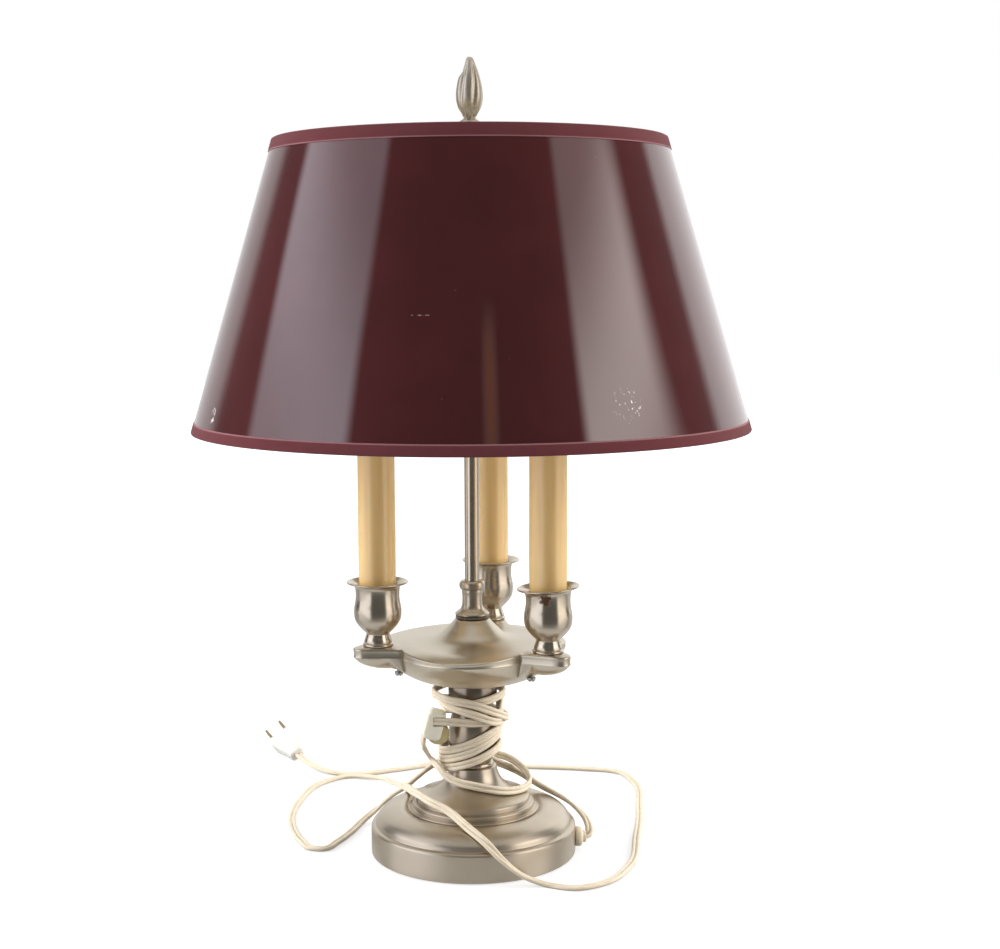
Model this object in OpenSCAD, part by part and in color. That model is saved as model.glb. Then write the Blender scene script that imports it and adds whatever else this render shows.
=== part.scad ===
// Table lamp with three candle lights, a drum shade and a flat cord wound
// round its stem. Millimetres, Z up, front towards -Y, stem on the Z axis.

/* [Base] */
// Radius of the base skirt
base_r = 67.4; // [60:0.2:82]
// Height of the straight skirt
skirt_h = 17; // [14:0.5:21]
// Highest point of the domed top
crown_z = 30.1; // [27:0.1:36]
// Wall of the spun base
shell_t = 1.4; // [1:0.1:1.8]

/* [Stem] */
// Outer radius of the threaded rod
rod_r = 4.95; // [4.2:0.05:5.95]
// Radius of the hole in the rod
rod_bore = 3.4; // [3.2:0.1:3.8]
// Height of the trumpet foot with its rings
foot_h = 28.6; // [25:0.2:34]
// Height of the neck ring
neck_h = 3; // [2:0.5:5]
// Widest radius of the vase
vase_r = 15.8; // [13.2:0.2:19]
// Height of the vase
vase_h = 39.5; // [33:0.5:47.5]
// Height of the collar below the tray
collar_h = 15; // [13:0.5:18]

/* [Tray] */
// Radius of each round lobe
lobe_r = 42; // [38:0.5:46]
// Distance of the lobe centres from the axis
lobe_off = 20.5; // [17:0.5:24]
// Distance of the candles from the axis
cup_off = 63.7; // [58:0.1:68]
// Direction of the rear candle
rear_azimuth = 78.3; // [70:0.1:90]
// Depth of the bowl under the rim
bowl_h = 20.5; // [18:0.5:23]
// Height of the upright rim
rim_h = 4.5; // [4:0.5:6]
// Wall of the pan
pan_t = 2; // [1.6:0.1:2.4]
// Thickness of the cover
cover_t = 1.4; // [1:0.1:1.8]

/* [Candles] */
// Height of a cup from its foot to its lip
cup_h = 41.8; // [35:0.2:50]
// Radius of a cup at its lip
lip_r = 19.6; // [17:0.2:23]
// Outer radius of a candle sleeve
sleeve_r = 11.4; // [10.8:0.1:12]
// Wall of a candle sleeve
sleeve_t = 0.8; // [0.6:0.1:1]
// Length of a candle sleeve
sleeve_h = 126; // [105:1:150]
// Radius of the nipple under a candle
nipple_r = 5.1; // [4.3:0.05:6.15]
// Widest radius of a bulb
bulb_r = 16; // [14:0.5:18]
// Length of a bulb above its cap
bulb_h = 75; // [62:1:84]

/* [Column] */
// Outer radius of the column tube
tube_r = 4.75; // [4.3:0.05:5.6]
// Length of the column tube
tube_h = 288; // [284:1:346]
// Radius of the stud that carries the shade
stud_r = 3.15; // [2.7:0.05:3.8]

/* [Shade] */
// Outer radius of the lower edge
shade_low_r = 177.8; // [148:0.2:214]
// Outer radius of the upper edge
shade_top_r = 124; // [104:0.2:149]
// Height of the shade
shade_h = 181.7; // [152:0.1:218]
// Wall of the shade
shade_t = 1.2; // [0.8:0.1:1.6]
// Height of the top trim
trim_h = 7.7; // [6:0.1:10]
// Height of the bottom trim
low_trim_h = 6.4; // [5:0.1:9]
// Radius of the shade wires
wire_r = 1.6; // [1.2:0.1:2]

/* [Switch and cord] */
// Length of the switch
switch_l = 19; // [17:0.5:23]
// Width of the switch
switch_w = 12; // [11:0.5:14]
// Thickness of the switch
switch_t = 13; // [12:0.5:14]
// Radius of the thumb wheel
thumb_r = 7.5; // [6.5:0.1:8]
// Width of the flat cord
cord_w = 5.4; // [4.6:0.1:6]
// Thickness of the flat cord
cord_t = 2.7; // [2.2:0.1:3]

/* [Hidden] */

$fn = 96;
// Gap of a running fit, and a hair of overlap for clean cuts
fit = 0.05;
cut = 0.5;
candles = [1 : 3];

// Colours
nickel = "#b2a898";
steel = "#8f8d88";
maroon = "#4a1216";
trim_red = "#6e2b30";
wax = "#d9bd84";
ivory = "#ddd0b8";
pale_plastic = "#dcdcc4";

// Heights along the stem, from the table up
felt_t = 1.5;
felt_drop = 0.3;
seat_r = 43;
seat_z = crown_z - 1.2;
foot_z = seat_z + foot_h;
vase_z = foot_z + neck_h;
collar_z = vase_z + vase_h;
bowl_z = collar_z + collar_h;
rim_z = bowl_z + bowl_h;
cover_z = rim_z + rim_h;
plate_z = cover_z + cover_t;
cone_h = 14.2;
cone_r = 11.2;
cone_z = plate_z + cone_h;
knurl_h = 2.4;
flange_z = cone_z + knurl_h;
collar_top = flange_z + 22.6;
tube_z = flange_z + 8;
tube_top = tube_z + tube_h;
seat_h = 3;
seat_gap = 0.1;
hub_z = tube_top + seat_h + seat_gap;
hub_h = 3;
finial_z = hub_z + hub_h + seat_gap;
stud_below = 18;
stud_above = 11;

// Base parts
weight_r = base_r - 17;
weight_h = 14;
weight_z = seat_z - shell_t - weight_h - seat_gap;
washer_h = 1.2;
nut_h = 3;
nut_r = 9;
thin_nut_h = 2;
bushing_z = 8;
bushing_r = 6.4;
bushing_l = 4.6;
nub_l = 2.6;
nub_r = 3.1;
cord_hole_r = 3;

// Tray and candle parts
mound_h = 0.8;
cup_z = plate_z + mound_h;
cup_floor = cup_z + 17.8;
cup_t = 1;
nipple_bore = 3.5;
nipple_top = cup_floor + 6;
screw_off = 50;
screw_r = 1.6;
boss_r = 3.2;
boss_drop = 13.2;
cover_boss_drop = 8.5;
foot_plate_t = 1.5;
bracket_w = 10;
bracket_t = 1.5;
bracket_r = 8.4;
socket_z = cup_floor + sleeve_h - 40;
socket_h = 38;
socket_r = 9.4;
cap_r = 6;
cap_h = 22;
cap_z = socket_z + socket_h - cap_h;
bulb_z = cap_z + cap_h + 1;

// Shade slope and edges
shade_top_z = finial_z + 2;
shade_low_z = shade_top_z - shade_h;
slope = (shade_low_r - shade_top_r) / shade_h;
wall_x = shade_t * sqrt(1 + slope * slope);
trim_t = 0.5;
wire_x = wall_x + wire_r * sqrt(1 + slope * slope);

// Switch: centre, lean towards the stem, and the pivot of its wheel
switch_c = [-25, -14, 88.5];
switch_lean = 15;
thumb_c = [3.8, 0, -5.2];
screw_c = [-3, 0, 4.5];
screw_l = 9.4;
screw_head = [2.6, 1.8];
channel = [20, 3.2, 6];
channel_c = [-28, 91.3];
thumb_w = 4;
thumb_gap = 0.5;
pivot_r = 1.5;
pivot_l = 8;

// Plug: rear centre and its direction, rise and roll
plug_c = [-137, 199, 6.8];
plug_azimuth = 121.7;
plug_rise = 15;
plug_roll = -32;
plug_l = 30;
plug_rear = [9, 11];
plug_front = [11, 21];
blade_gap = 12.7;
blade = [15.9, 6.3, 1.5];

// Routes of the two visible cord lengths, from the bushing to the winding
// and from the switch to the plug
lead_route = [
    [76.4, 1, 8.5], [76.8, 4.5, 12], [75.5, 9.5, 16], [71, 15.5, 20.5], [62, 23, 26],
    [46, 29, 33.5], [31, 30, 43], [16, 27, 51], [4, 25.5, 57], [-4, 24, 60]
];
tail_route = [
    [-31.8, -14, 81.5], [-32.6, -14, 76.5], [-31, -8, 69.5], [-27.5, -6, 63], [-22, -12, 58.5],
    [-18, -15, 54.5], [-10, -19, 51], [-1, -21.5, 49.5], [8.5, -21.5, 47.5], [18.5, -18.5, 45],
    [28.5, -9, 42.5], [35, 2, 41.5], [38, 12, 42.5], [35, 22, 46.5], [26, 28, 52.5],
    [14, 31.5, 55.5], [-2, 32.5, 55.5], [-14, 30, 54.5], [-23, 28, 51], [-38, 40, 37],
    [-47.1, 51, 26.2], [-56, 56, 19], [-66.7, 60, 8.5], [-76, 53, 2.6], [-84, 29, 1.4],
    [-91, 11, 1.4], [-99, -3, 1.4], [-108, -1, 1.4], [-115, 12, 1.4], [-126, 52, 1.4],
    [-125, 102, 1.4], [-113, 143, 1.4], [-95, 159, 1.4], [-72, 150, 3], [-59, 110, 11.5],
    [-51.5, 80, 19], [-46.8, 44, 28.8], [-43.3, 27, 32.6], [-39.2, -2, 39.3], [-35, -14, 41],
    [-29.5, -26, 41.2], [-16, -38.5, 38], [-3, -54.5, 32], [8, -65.5, 26], [18, -69.5, 16.5], [30, -70, 7],
    [44, -70, 1.4], [64, -77, 1.4], [82, -68, 1.4], [99, -40, 1.4], [110, 18, 1.4], [118, 80, 1.4],
    [120, 140, 1.4], [112, 165, 1.4], [80, 176, 1.4], [40, 182, 1.4], [0, 195, 1.4],
    [-23, 196, 1.4], [-43, 183, 1.4], [-63, 173.5, 1.4], [-85, 165, 1.4], [-104, 167, 1.4],
    [-122, 180, 3], [-137, 199, 6.8]
];
inner_route = [
    [74, 0, 8], [40, 0, 8], [20, 0, 5.5], [10, 0, 4], [3, 0, 4.2], [0.4, 0, 6.2], [0, 0, 9],
    [0, 0, 40], [0, 0, bowl_z], [0, 0, bowl_z + 14]
];

// Winding round the vase: inner radius, lower and upper outer radius
wind_r = 16.3;
wind_low_r = 21;
wind_high_r = 24.5;
wind_z = [58, 86, 109];

function azimuth(i) = rear_azimuth + 120 * (i - 1);
function unit(v) = v / norm(v);

// Smooth line through the points p, with n steps between two of them
function smooth(p, n = 4) = [
    for (i = [0 : len(p) - 2], k = [0 : n - 1])
        let (
            a = p[max(i - 1, 0)],
            b = p[i],
            c = p[i + 1],
            d = p[min(i + 2, len(p) - 1)],
            t = k / n
        )
        0.5 * (2 * b + (c - a) * t + (2 * a - 5 * b + 4 * c - d) * t * t
            + (3 * b - a - 3 * c + d) * t * t * t),
    p[len(p) - 1]
];

// Outline of fractions stretched to radius r and height h, from height z
function stretch(p, r, h, z = 0) = [for (q = p) [q[0] * r, z + q[1] * h]];

// Solid turned from an outer line that rises from its lower to its upper end
module turned(line, bore = 0) {
    top = line[len(line) - 1][1];
    rotate_extrude()
        polygon(concat([[bore, line[0][1]]], line, [[bore, top]]));
}

module ring(r_out, r_in, h, z = 0) {
    translate([0, 0, z])
        difference() {
            cylinder(r = r_out, h = h);
            translate([0, 0, -cut])
                cylinder(r = r_in, h = h + 2 * cut);
        }
}

module hex_nut(z, r, bore, h) {
    translate([0, 0, z])
        difference() {
            cylinder(r = r, h = h, $fn = 6);
            translate([0, 0, -cut])
                cylinder(r = bore, h = h + 2 * cut);
        }
}

// Flat cord with rounded edges swept along a route
module flat_cord(route, w = cord_w, t = cord_t, upright_side = 1) {
    sides = 8;
    last = len(route) - 1;
    flat = cos(180 / sides);
    points = [
        for (i = [0 : last])
            let (
                along = unit(route[min(i + 1, last)] - route[max(i - 1, 0)]),
                level = cross([0, 0, 1], along),
                side = norm(level) > 0.02 ? unit(level) : [0, upright_side, 0],
                up = cross(along, side)
            )
            for (j = [0 : sides - 1])
                let (a = 360 * (j + 0.5) / sides)
                route[i] + side * cos(a) * w / 2 / flat + up * sin(a) * t / 2 / flat
    ];
    walls = [
        for (i = [0 : last - 1], j = [0 : sides - 1])
            let (
                k = (j + 1) % sides,
                near = [i * sides + j, i * sides + k],
                far = [near[0] + sides, near[1] + sides]
            )
            each [[near[0], near[1], far[1]], [near[0], far[1], far[0]]]
    ];
    start = [for (j = [sides - 1 : -1 : 0]) j];
    end = [for (j = [0 : sides - 1]) last * sides + j];
    polyhedron(points, concat([start], walls, [end]));
}

// ---- Base ----

base_line = [
    [1, 0], [0.992, 0.122], [0.951, 0.183], [0.885, 0.191], [0.861, 0.321], [0.803, 0.534],
    [0.717, 0.71], [0.574, 0.855], [0.369, 0.962], [0.184, 1], [0.06, 0.947], [0, 0.908]
];
base_top = [
    for (p = base_line)
        [seat_r + p[0] * (base_r - seat_r), skirt_h + p[1] * (crown_z - skirt_h)]
];

module base_shell() {
    color(nickel)
        difference() {
            turned(concat([[base_r, felt_drop]], base_top));
            turned([for (p = concat([[base_r, felt_drop - cut]], base_top))
                [p[0] - shell_t * (p[0] > seat_r + 1 ? 1 : 0), p[1] - shell_t * (p[1] > 1 ? 1 : 0)]]);
            cylinder(r = rod_r + fit, h = 2 * crown_z);
            translate([base_r - 4 * shell_t, 0, bushing_z])
                rotate([0, 90, 0])
                    cylinder(r = nub_r + 1 + fit, h = 8 * shell_t);
        }
}

module base_weight() {
    color(steel)
        ring(weight_r, rod_r + fit, weight_h, weight_z);
}

module base_felt() {
    color("#3c4a3a")
        cylinder(r = base_r - shell_t - 0.3, h = felt_t);
}

module base_washer() {
    color(steel)
        ring(12, rod_r + fit, washer_h, weight_z - washer_h);
}

module base_nut() {
    color(steel)
        hex_nut(weight_z - washer_h - nut_h, nut_r, rod_r + fit, nut_h);
}

module cord_bushing() {
    color(ivory)
        translate([base_r, 0, bushing_z])
            rotate([0, 90, 0])
                difference() {
                    union() {
                        cylinder(r = bushing_r, h = bushing_l);
                        cylinder(r = nub_r + 0.6, h = bushing_l + nub_l);
                        translate([0, 0, -2.5 * shell_t])
                            cylinder(r = nub_r + 1, h = 3 * shell_t);
                    }
                    translate([0, 0, -10])
                        cylinder(r = cord_hole_r, h = 30);
                }
}

// ---- Stem ----

module stem_foot() {
    steps = [[43, 0], [43, 1.6], [40, 1.6], [40, 5.1], [37, 5.1], [37, 8.8]];
    horn = [
        [36.5, 9.3], [30, 10.9], [25, 13.6], [23.6, 14.5], [19.8, 17.8], [18.1, 20.2],
        [16.7, 23.2], [15.4, 28.6]
    ];
    k = foot_h / 28.6;
    line = [for (p = concat(steps, smooth(horn, 3))) [p[0], seat_z + p[1] * k]];
    color(nickel)
        turned(line, rod_r + fit);
}

module neck_ring() {
    color(nickel)
        turned(stretch([[12, 0], [13.2, 0.2], [13.5, 0.5], [13.2, 0.8], [12, 1]], 1, neck_h, foot_z),
            rod_r + fit);
}

module vase() {
    line = [
        [0.76, 0], [0.84, 0.09], [0.96, 0.24], [1, 0.42], [0.985, 0.6], [0.91, 0.75],
        [0.8, 0.88], [0.735, 1]
    ];
    color(nickel)
        turned(smooth(stretch(line, vase_r, vase_h, vase_z), 3), rod_r + fit);
}

module tray_collar() {
    line = [[14.6, 0], [15.3, 0.06], [15.9, 0.35], [15.9, 0.7], [15.4, 0.94], [16.5, 1]];
    color(nickel)
        turned(stretch(line, 1, collar_h, collar_z), rod_r + fit);
}

module threaded_rod() {
    foot = weight_z - washer_h - nut_h - 1.5;
    color(steel)
        ring(rod_r, rod_bore, flange_z + 6 - foot, foot);
}

// ---- Tray ----

arm_line = [[30, 16.5], [50, 15.5], [57, 13], [63.7, 10.6], [70, 8.4], [75, 7], [80, 5.8]];

module arm_outline(inset = 0) {
    k = cup_off / 63.7;
    edge = smooth([for (p = arm_line) [p[0] * k, p[1] - inset]], 3);
    tip = edge[len(edge) - 1];
    far = concat(edge, [[tip[0] - inset, 0]]);
    polygon(concat([[0, 16.5 - inset]], [for (p = far) [min(p[0], tip[0] - inset), p[1]]],
        [for (k = [len(edge) - 1 : -1 : 0]) [min(edge[k][0], tip[0] - inset), -edge[k][1]]],
        [[0, inset - 16.5]]));
}

module tray_outline(inset = 0) {
    circle(r = 44);
    for (i = candles) {
        rotate(azimuth(i))
            arm_outline(inset);
        rotate(azimuth(i) + 60)
            translate([lobe_off, 0])
                circle(r = lobe_r - inset);
    }
}

// Underside of the bowl, as fractions of its reach and its depth
bowl_line = [
    [0.265, 0], [0.4, 0.01], [0.484, 0.036], [0.645, 0.19], [0.806, 0.468], [0.935, 0.8], [1, 1]
];

module bowl(inset = 0) {
    reach = lobe_off + lobe_r - 0.5;
    line = smooth(stretch(bowl_line, reach - inset, bowl_h - inset, bowl_z + inset), 3);
    intersection() {
        turned(line);
        translate([0, 0, bowl_z])
            linear_extrude(bowl_h)
                tray_outline(inset);
    }
}

// Boat-shaped underside of one arm
module keel() {
    centre_z = rim_z + 3;
    intersection() {
        translate([0, 0, centre_z])
            rotate([0, 90, 0])
                rotate_extrude()
                    polygon([[0, 36], [12.5, 36], [12.2, 52], [11.2, cup_off], [9.6, cup_off + 6.3],
                        [7.5, cup_off + 11.3], [4.5, cup_off + 15.6], [0, cup_off + 16.3]]);
        translate([0, 0, rim_z - 10])
            linear_extrude(10)
                arm_outline();
    }
}

module tray_pan() {
    color(nickel)
        difference() {
            union() {
                bowl();
                translate([0, 0, rim_z])
                    linear_extrude(rim_h)
                        tray_outline();
                for (i = candles) {
                    rotate(azimuth(i)) {
                        keel();
                        translate([screw_off, 0, rim_z - boss_drop])
                            cylinder(r = boss_r, h = 6);
                    }
                }
            }
            bowl(pan_t);
            translate([0, 0, rim_z - 0.01])
                linear_extrude(rim_h + cut)
                    tray_outline(pan_t);
            cylinder(r = rod_r + fit, h = plate_z);
            for (i = candles) {
                rotate(azimuth(i)) {
                    translate([screw_off, 0, rim_z - 20])
                        cylinder(r = screw_r + fit, h = 30);
                    translate([screw_off, 0, rim_z - cover_boss_drop])
                        cylinder(r = boss_r + 0.3, h = 12);
                }
            }
        }
}

module tray_nut() {
    color(steel)
        hex_nut(bowl_z + pan_t, nut_r, rod_r + fit, nut_h);
}

cone_line = [
    [cone_r, 14.6], [13, 12.1], [15, 10.1], [17, 8.1], [20.4, 4.4], [24.3, 2], [30, 0.8], [40, 0]
];

module tray_cover() {
    k = cone_h / 14.6;
    top = [for (p = cone_line) [p[0], plate_z + p[1] * k]];
    color(nickel)
        difference() {
            union() {
                translate([0, 0, cover_z])
                    linear_extrude(cover_t)
                        tray_outline();
                rotate_extrude()
                    polygon(concat(top, [[40, cover_z], [0, cover_z], [0, cone_z]]));
                for (i = candles) {
                    intersection() {
                        rotate(azimuth(i))
                            translate([cup_off, 0, 0])
                                turned([[15, plate_z - cut], [15, plate_z], [12.5, cup_z - 0.6],
                                    [10.5, cup_z]]);
                        translate([0, 0, plate_z - cut])
                            linear_extrude(mound_h + cut)
                                tray_outline();
                    }
                    rotate(azimuth(i))
                        translate([screw_off, 0, rim_z - cover_boss_drop])
                            cylinder(r = boss_r, h = plate_z - cut + cover_boss_drop - rim_z);
                }
            }
            rotate_extrude()
                polygon(concat([for (p = top) [p[0] - 1, p[1] - cover_t]], [[39, cover_z - 1],
                    [0, cover_z - 1], [0, cone_z - cover_t]]));
            cylinder(r = rod_r + fit, h = cone_z + cut);
            for (i = candles) {
                rotate(azimuth(i)) {
                    translate([cup_off, 0, 0])
                        cylinder(r = nipple_r + fit, h = cone_z);
                    translate([screw_off, 0, 0])
                        cylinder(r = screw_r + fit, h = cover_z);
                }
            }
        }
}

module cover_screws() {
    head_z = rim_z - boss_drop;
    color(steel)
        for (i = candles) {
            rotate(azimuth(i))
                translate([screw_off, 0, head_z]) {
                    cylinder(r = screw_r, h = boss_drop + 3);
                    translate([0, 0, -1.8])
                        cylinder(r1 = 1.8, r2 = 2.8, h = 1.8);
                }
        }
}

// ---- Column ----

module knurled_ring() {
    color(steel)
        ring(10.5, rod_r + fit, knurl_h, cone_z);
}

module column_collar() {
    foot = [[11.1, 0], [11.1, 1.2], [10.6, 1.6]];
    body = [
        [9.7, 2.6], [7.6, 4.2], [6.7, 6.2], [6.5, 10], [6.8, 13.8], [6.8, 16.7], [8, 17.6],
        [8.3, 19.3], [8, 21.1], [6.8, 22.6]
    ];
    line = [for (p = concat(foot, smooth(body, 2))) [p[0], flange_z + p[1]]];
    color(nickel)
        difference() {
            turned(line);
            cylinder(r = rod_r + fit, h = flange_z + 6);
            translate([0, 0, tube_z])
                cylinder(r = tube_r + fit, h = collar_top);
            cylinder(r = rod_bore, h = tube_z + cut);
        }
}

module column_tube() {
    color(nickel)
        ring(tube_r, stud_r + fit, tube_h, tube_z);
}

module top_stud() {
    color(steel)
        translate([0, 0, tube_top - stud_below])
            cylinder(r = stud_r, h = stud_below + seat_h + hub_h + stud_above);
}

module shade_seat() {
    color(nickel)
        ring(8, stud_r + fit, seat_h, tube_top);
}

// ---- Shade ----

// Outer radius of the shade at height z
function shade_r(z) = shade_top_r + (shade_top_z - z) * slope;

// Band that follows the slope, between two heights and two insets
module band(z1, z2, in1, in2) {
    rotate_extrude($fn = 180)
        polygon([
            [shade_r(z1) - in1, z1], [shade_r(z2) - in1, z2],
            [shade_r(z2) - in2, z2], [shade_r(z1) - in2, z1]
        ]);
}

module wire_ring(z) {
    rotate_extrude($fn = 180)
        translate([shade_r(z) - wire_x, z])
            circle(r = wire_r, $fn = 24);
}

module shade_spider() {
    spoke_z = hub_z + hub_h / 2;
    reach = shade_r(spoke_z) - wire_x - wire_r;
    color(steel) {
        ring(9, stud_r + fit, hub_h, hub_z);
        for (a = [30 : 120 : 270]) {
            rotate([0, 90, a])
                translate([-spoke_z, 0, 6])
                    cylinder(r = wire_r - 0.2, h = reach - 6 + 0.1);
        }
    }
}

module top_wire_ring() {
    color(steel)
        wire_ring(hub_z + hub_h / 2);
}

module bottom_wire_ring() {
    color(steel)
        wire_ring(shade_low_z + wire_r + 0.6);
}

module shade_shell() {
    color(maroon)
        band(shade_low_z, shade_top_z, 0, wall_x);
}

module top_trim() {
    color(trim_red)
        band(shade_top_z - trim_h, shade_top_z, -trim_t, 0);
}

module bottom_trim() {
    color(trim_red)
        band(shade_low_z, shade_low_z + low_trim_h, -trim_t, 0);
}

module finial() {
    base = [[6.3, 0], [6.3, 13.8], [5.6, 14.5], [3.8, 15.4]];
    flame = [
        [3.8, 16.3], [5.2, 18.4], [7.4, 22.1], [8.5, 27.6], [8, 33.2], [7.3, 36.9], [6.1, 40.6],
        [4.1, 44.3], [2.2, 51.6], [0, 53.5]
    ];
    line = [for (p = concat(base, smooth(flame, 2))) [max(p[0], 0), finial_z + p[1]]];
    color(nickel)
        difference() {
            turned(line);
            translate([0, 0, finial_z - cut])
                cylinder(r = stud_r + fit, h = stud_above + 1.5 * cut);
        }
}

// ---- Candles ----

// Places a child at each candle
module at_candle(i) {
    rotate(azimuth(i))
        translate([cup_off, 0, 0])
            children();
}

// Outer line of a cup, as fractions of its lip radius and its height
cup_line = [
    [0.5, 0], [0.46, 0.05], [0.408, 0.12], [0.355, 0.184], [0.43, 0.22], [0.541, 0.27],
    [0.704, 0.368], [0.77, 0.469], [0.775, 0.567], [0.74, 0.667], [0.719, 0.766], [0.719, 0.866],
    [0.745, 0.914], [0.86, 0.965], [1, 0.99], [1, 1]
];

module candle_cup(i) {
    outer = stretch(cup_line, lip_r, cup_h, cup_z);
    inner = [
        for (p = outer)
            if (p[1] > cup_floor + 1)
                [p[0] - cup_t * (p[1] < cup_z + 0.98 * cup_h ? 1 : 0.4),
                    p[1] + (p[1] > cup_z + 0.9 * cup_h ? 0.5 : 0)]
    ];
    color(nickel)
        at_candle(i)
            difference() {
                turned(outer);
                turned(concat([[12.4, cup_floor]], inner, [[lip_r, cup_z + cup_h + cut]]));
                cylinder(r = nipple_r + fit, h = cup_floor + cut);
            }
}

module candle_nipple(i) {
    foot = cover_z - thin_nut_h - 0.2;
    color(steel)
        at_candle(i)
            ring(nipple_r, nipple_bore, nipple_top - foot, foot);
}

module nipple_nuts() {
    color(steel)
        for (i = candles) {
            at_candle(i) {
                hex_nut(cover_z - thin_nut_h, 7, nipple_r + fit, thin_nut_h);
                hex_nut(cup_floor + foot_plate_t, 7, nipple_r + fit, nut_h);
            }
        }
}

module socket_bracket(i) {
    color(steel)
        at_candle(i) {
            ring(bracket_r, nipple_r + fit, foot_plate_t, cup_floor);
            intersection() {
                translate([bracket_r - bracket_t, -bracket_w / 2, cup_floor])
                    cube([bracket_t, bracket_w, socket_z - cup_floor]);
                cylinder(r = sleeve_r - sleeve_t - 0.2, h = socket_z);
            }
        }
}

module lamp_socket(i) {
    color("#2e2a26")
        at_candle(i)
            difference() {
                translate([0, 0, socket_z])
                    cylinder(r = socket_r, h = socket_h);
                translate([0, 0, cap_z])
                    cylinder(r = cap_r + fit, h = socket_h);
            }
}

module candle_sleeve(i) {
    color(wax)
        at_candle(i)
            ring(sleeve_r, sleeve_r - sleeve_t, sleeve_h, cup_floor);
}

module bulb_glass(i) {
    line = [
        [0.34, 0], [0.42, 0.06], [0.72, 0.16], [0.95, 0.3], [1, 0.42], [0.93, 0.56],
        [0.75, 0.7], [0.5, 0.83], [0.25, 0.93], [0, 1]
    ];
    body = stretch(line, bulb_r, bulb_h, bulb_z);
    color("#f2efe6")
        at_candle(i)
            turned(body);
}

module bulb_cap(i) {
    color("#b9a26a")
        at_candle(i) {
            translate([0, 0, cap_z + 1.6])
                cylinder(r = cap_r, h = cap_h - 0.6);
            translate([0, 0, cap_z])
                cylinder(r = 2.5, h = 1.7);
        }
}

// ---- Switch ----

module at_switch() {
    translate(switch_c)
        rotate([0, switch_lean, 0])
            children();
}

// Half of the switch housing, between two depths measured from the middle
module switch_half(y1, y2) {
    round_r = 3.5;
    difference() {
        rotate([90, 0, 0])
            translate([0, 0, -y2])
                linear_extrude(y2 - y1)
                    union() {
                        square([switch_w, switch_l - 2 * round_r], center = true);
                        square([switch_w - 2 * round_r, switch_l], center = true);
                        for (sx = [-1, 1], sz = [-1, 1])
                            translate([sx * (switch_w / 2 - round_r), sz * (switch_l / 2 - round_r)])
                                circle(r = round_r);
                    }
        translate(thumb_c)
            rotate([90, 0, 0]) {
                cylinder(r = thumb_r + thumb_gap, h = thumb_w + 2 * thumb_gap, center = true);
                cylinder(r = pivot_r + fit, h = pivot_l + 2 * fit, center = true);
            }
        translate(screw_c)
            rotate([90, 0, 0]) {
                cylinder(r = screw_r + fit, h = screw_l, center = true);
                translate([0, 0, -switch_t / 2 - cut])
                    cylinder(r = screw_head[0] + fit, h = screw_head[1] + cut);
            }
    }
}

module switch_front() {
    color(pale_plastic)
        difference() {
            at_switch()
                switch_half(-switch_t / 2, 0);
            translate([channel_c[0], switch_c[1] - switch_t / 2 - cut, channel_c[1] - channel[2] / 2])
                cube([channel[0], channel[1] + cut, channel[2]]);
        }
}

module switch_back() {
    color(pale_plastic)
        at_switch()
            switch_half(0, switch_t / 2);
}

module switch_wheel() {
    color("#c9c795")
        at_switch()
            translate(thumb_c)
                rotate([90, 0, 0]) {
                    cylinder(r = thumb_r, h = thumb_w, center = true);
                    cylinder(r = pivot_r, h = pivot_l, center = true);
                }
}

module switch_screw() {
    color(steel)
        at_switch()
            translate(screw_c)
                rotate([90, 0, 0]) {
                    cylinder(r = screw_r, h = screw_l, center = true);
                    translate([0, 0, -switch_t / 2])
                        cylinder(r = screw_head[0], h = screw_head[1]);
                }
}

// ---- Cord and plug ----

module cord_lead() {
    color(ivory)
        flat_cord(lead_route);
}

module cord_tail() {
    color(ivory)
        flat_cord(tail_route);
}

module cord_winding() {
    color(ivory)
        difference() {
            rotate_extrude()
                polygon([
                    [wind_r, wind_z[0]], [wind_low_r, wind_z[0]], [wind_low_r, wind_z[1]],
                    [wind_high_r, wind_z[1]], [wind_high_r, wind_z[2]], [wind_r, wind_z[2]]
                ]);
            at_switch() {
                translate([-switch_w / 2 - 20, -switch_t / 2 - 10, -switch_l / 2])
                    cube([switch_w + 20, switch_t + 10, switch_l]);
                translate(thumb_c + [0, 4, 0])
                    rotate([90, 0, 0])
                        cylinder(r = thumb_r + 1, h = 20);
            }
        }
}

module inner_cord() {
    color(ivory)
        flat_cord(inner_route, upright_side = -1);
}

module socket_leads() {
    color(ivory)
        for (i = candles) {
            rotate(azimuth(i))
                flat_cord([
                    [6, 2, bowl_z + 11], [30, 4, bowl_z + 11], [44, 5.4, rim_z - 6],
                    [54, 5.2, rim_z - 1.8], [60, 1.5, rim_z + 1.1], [cup_off - 1.2, 0, rim_z + 1.1],
                    [cup_off, 0, cover_z + 1], [cup_off, 0, socket_z]
                ], 3, 1.8);
        }
}

module at_plug() {
    translate(plug_c)
        rotate([0, 0, plug_azimuth])
            rotate([0, -plug_rise, 0])
                rotate([plug_roll, 0, 0])
                    children();
}

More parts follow.
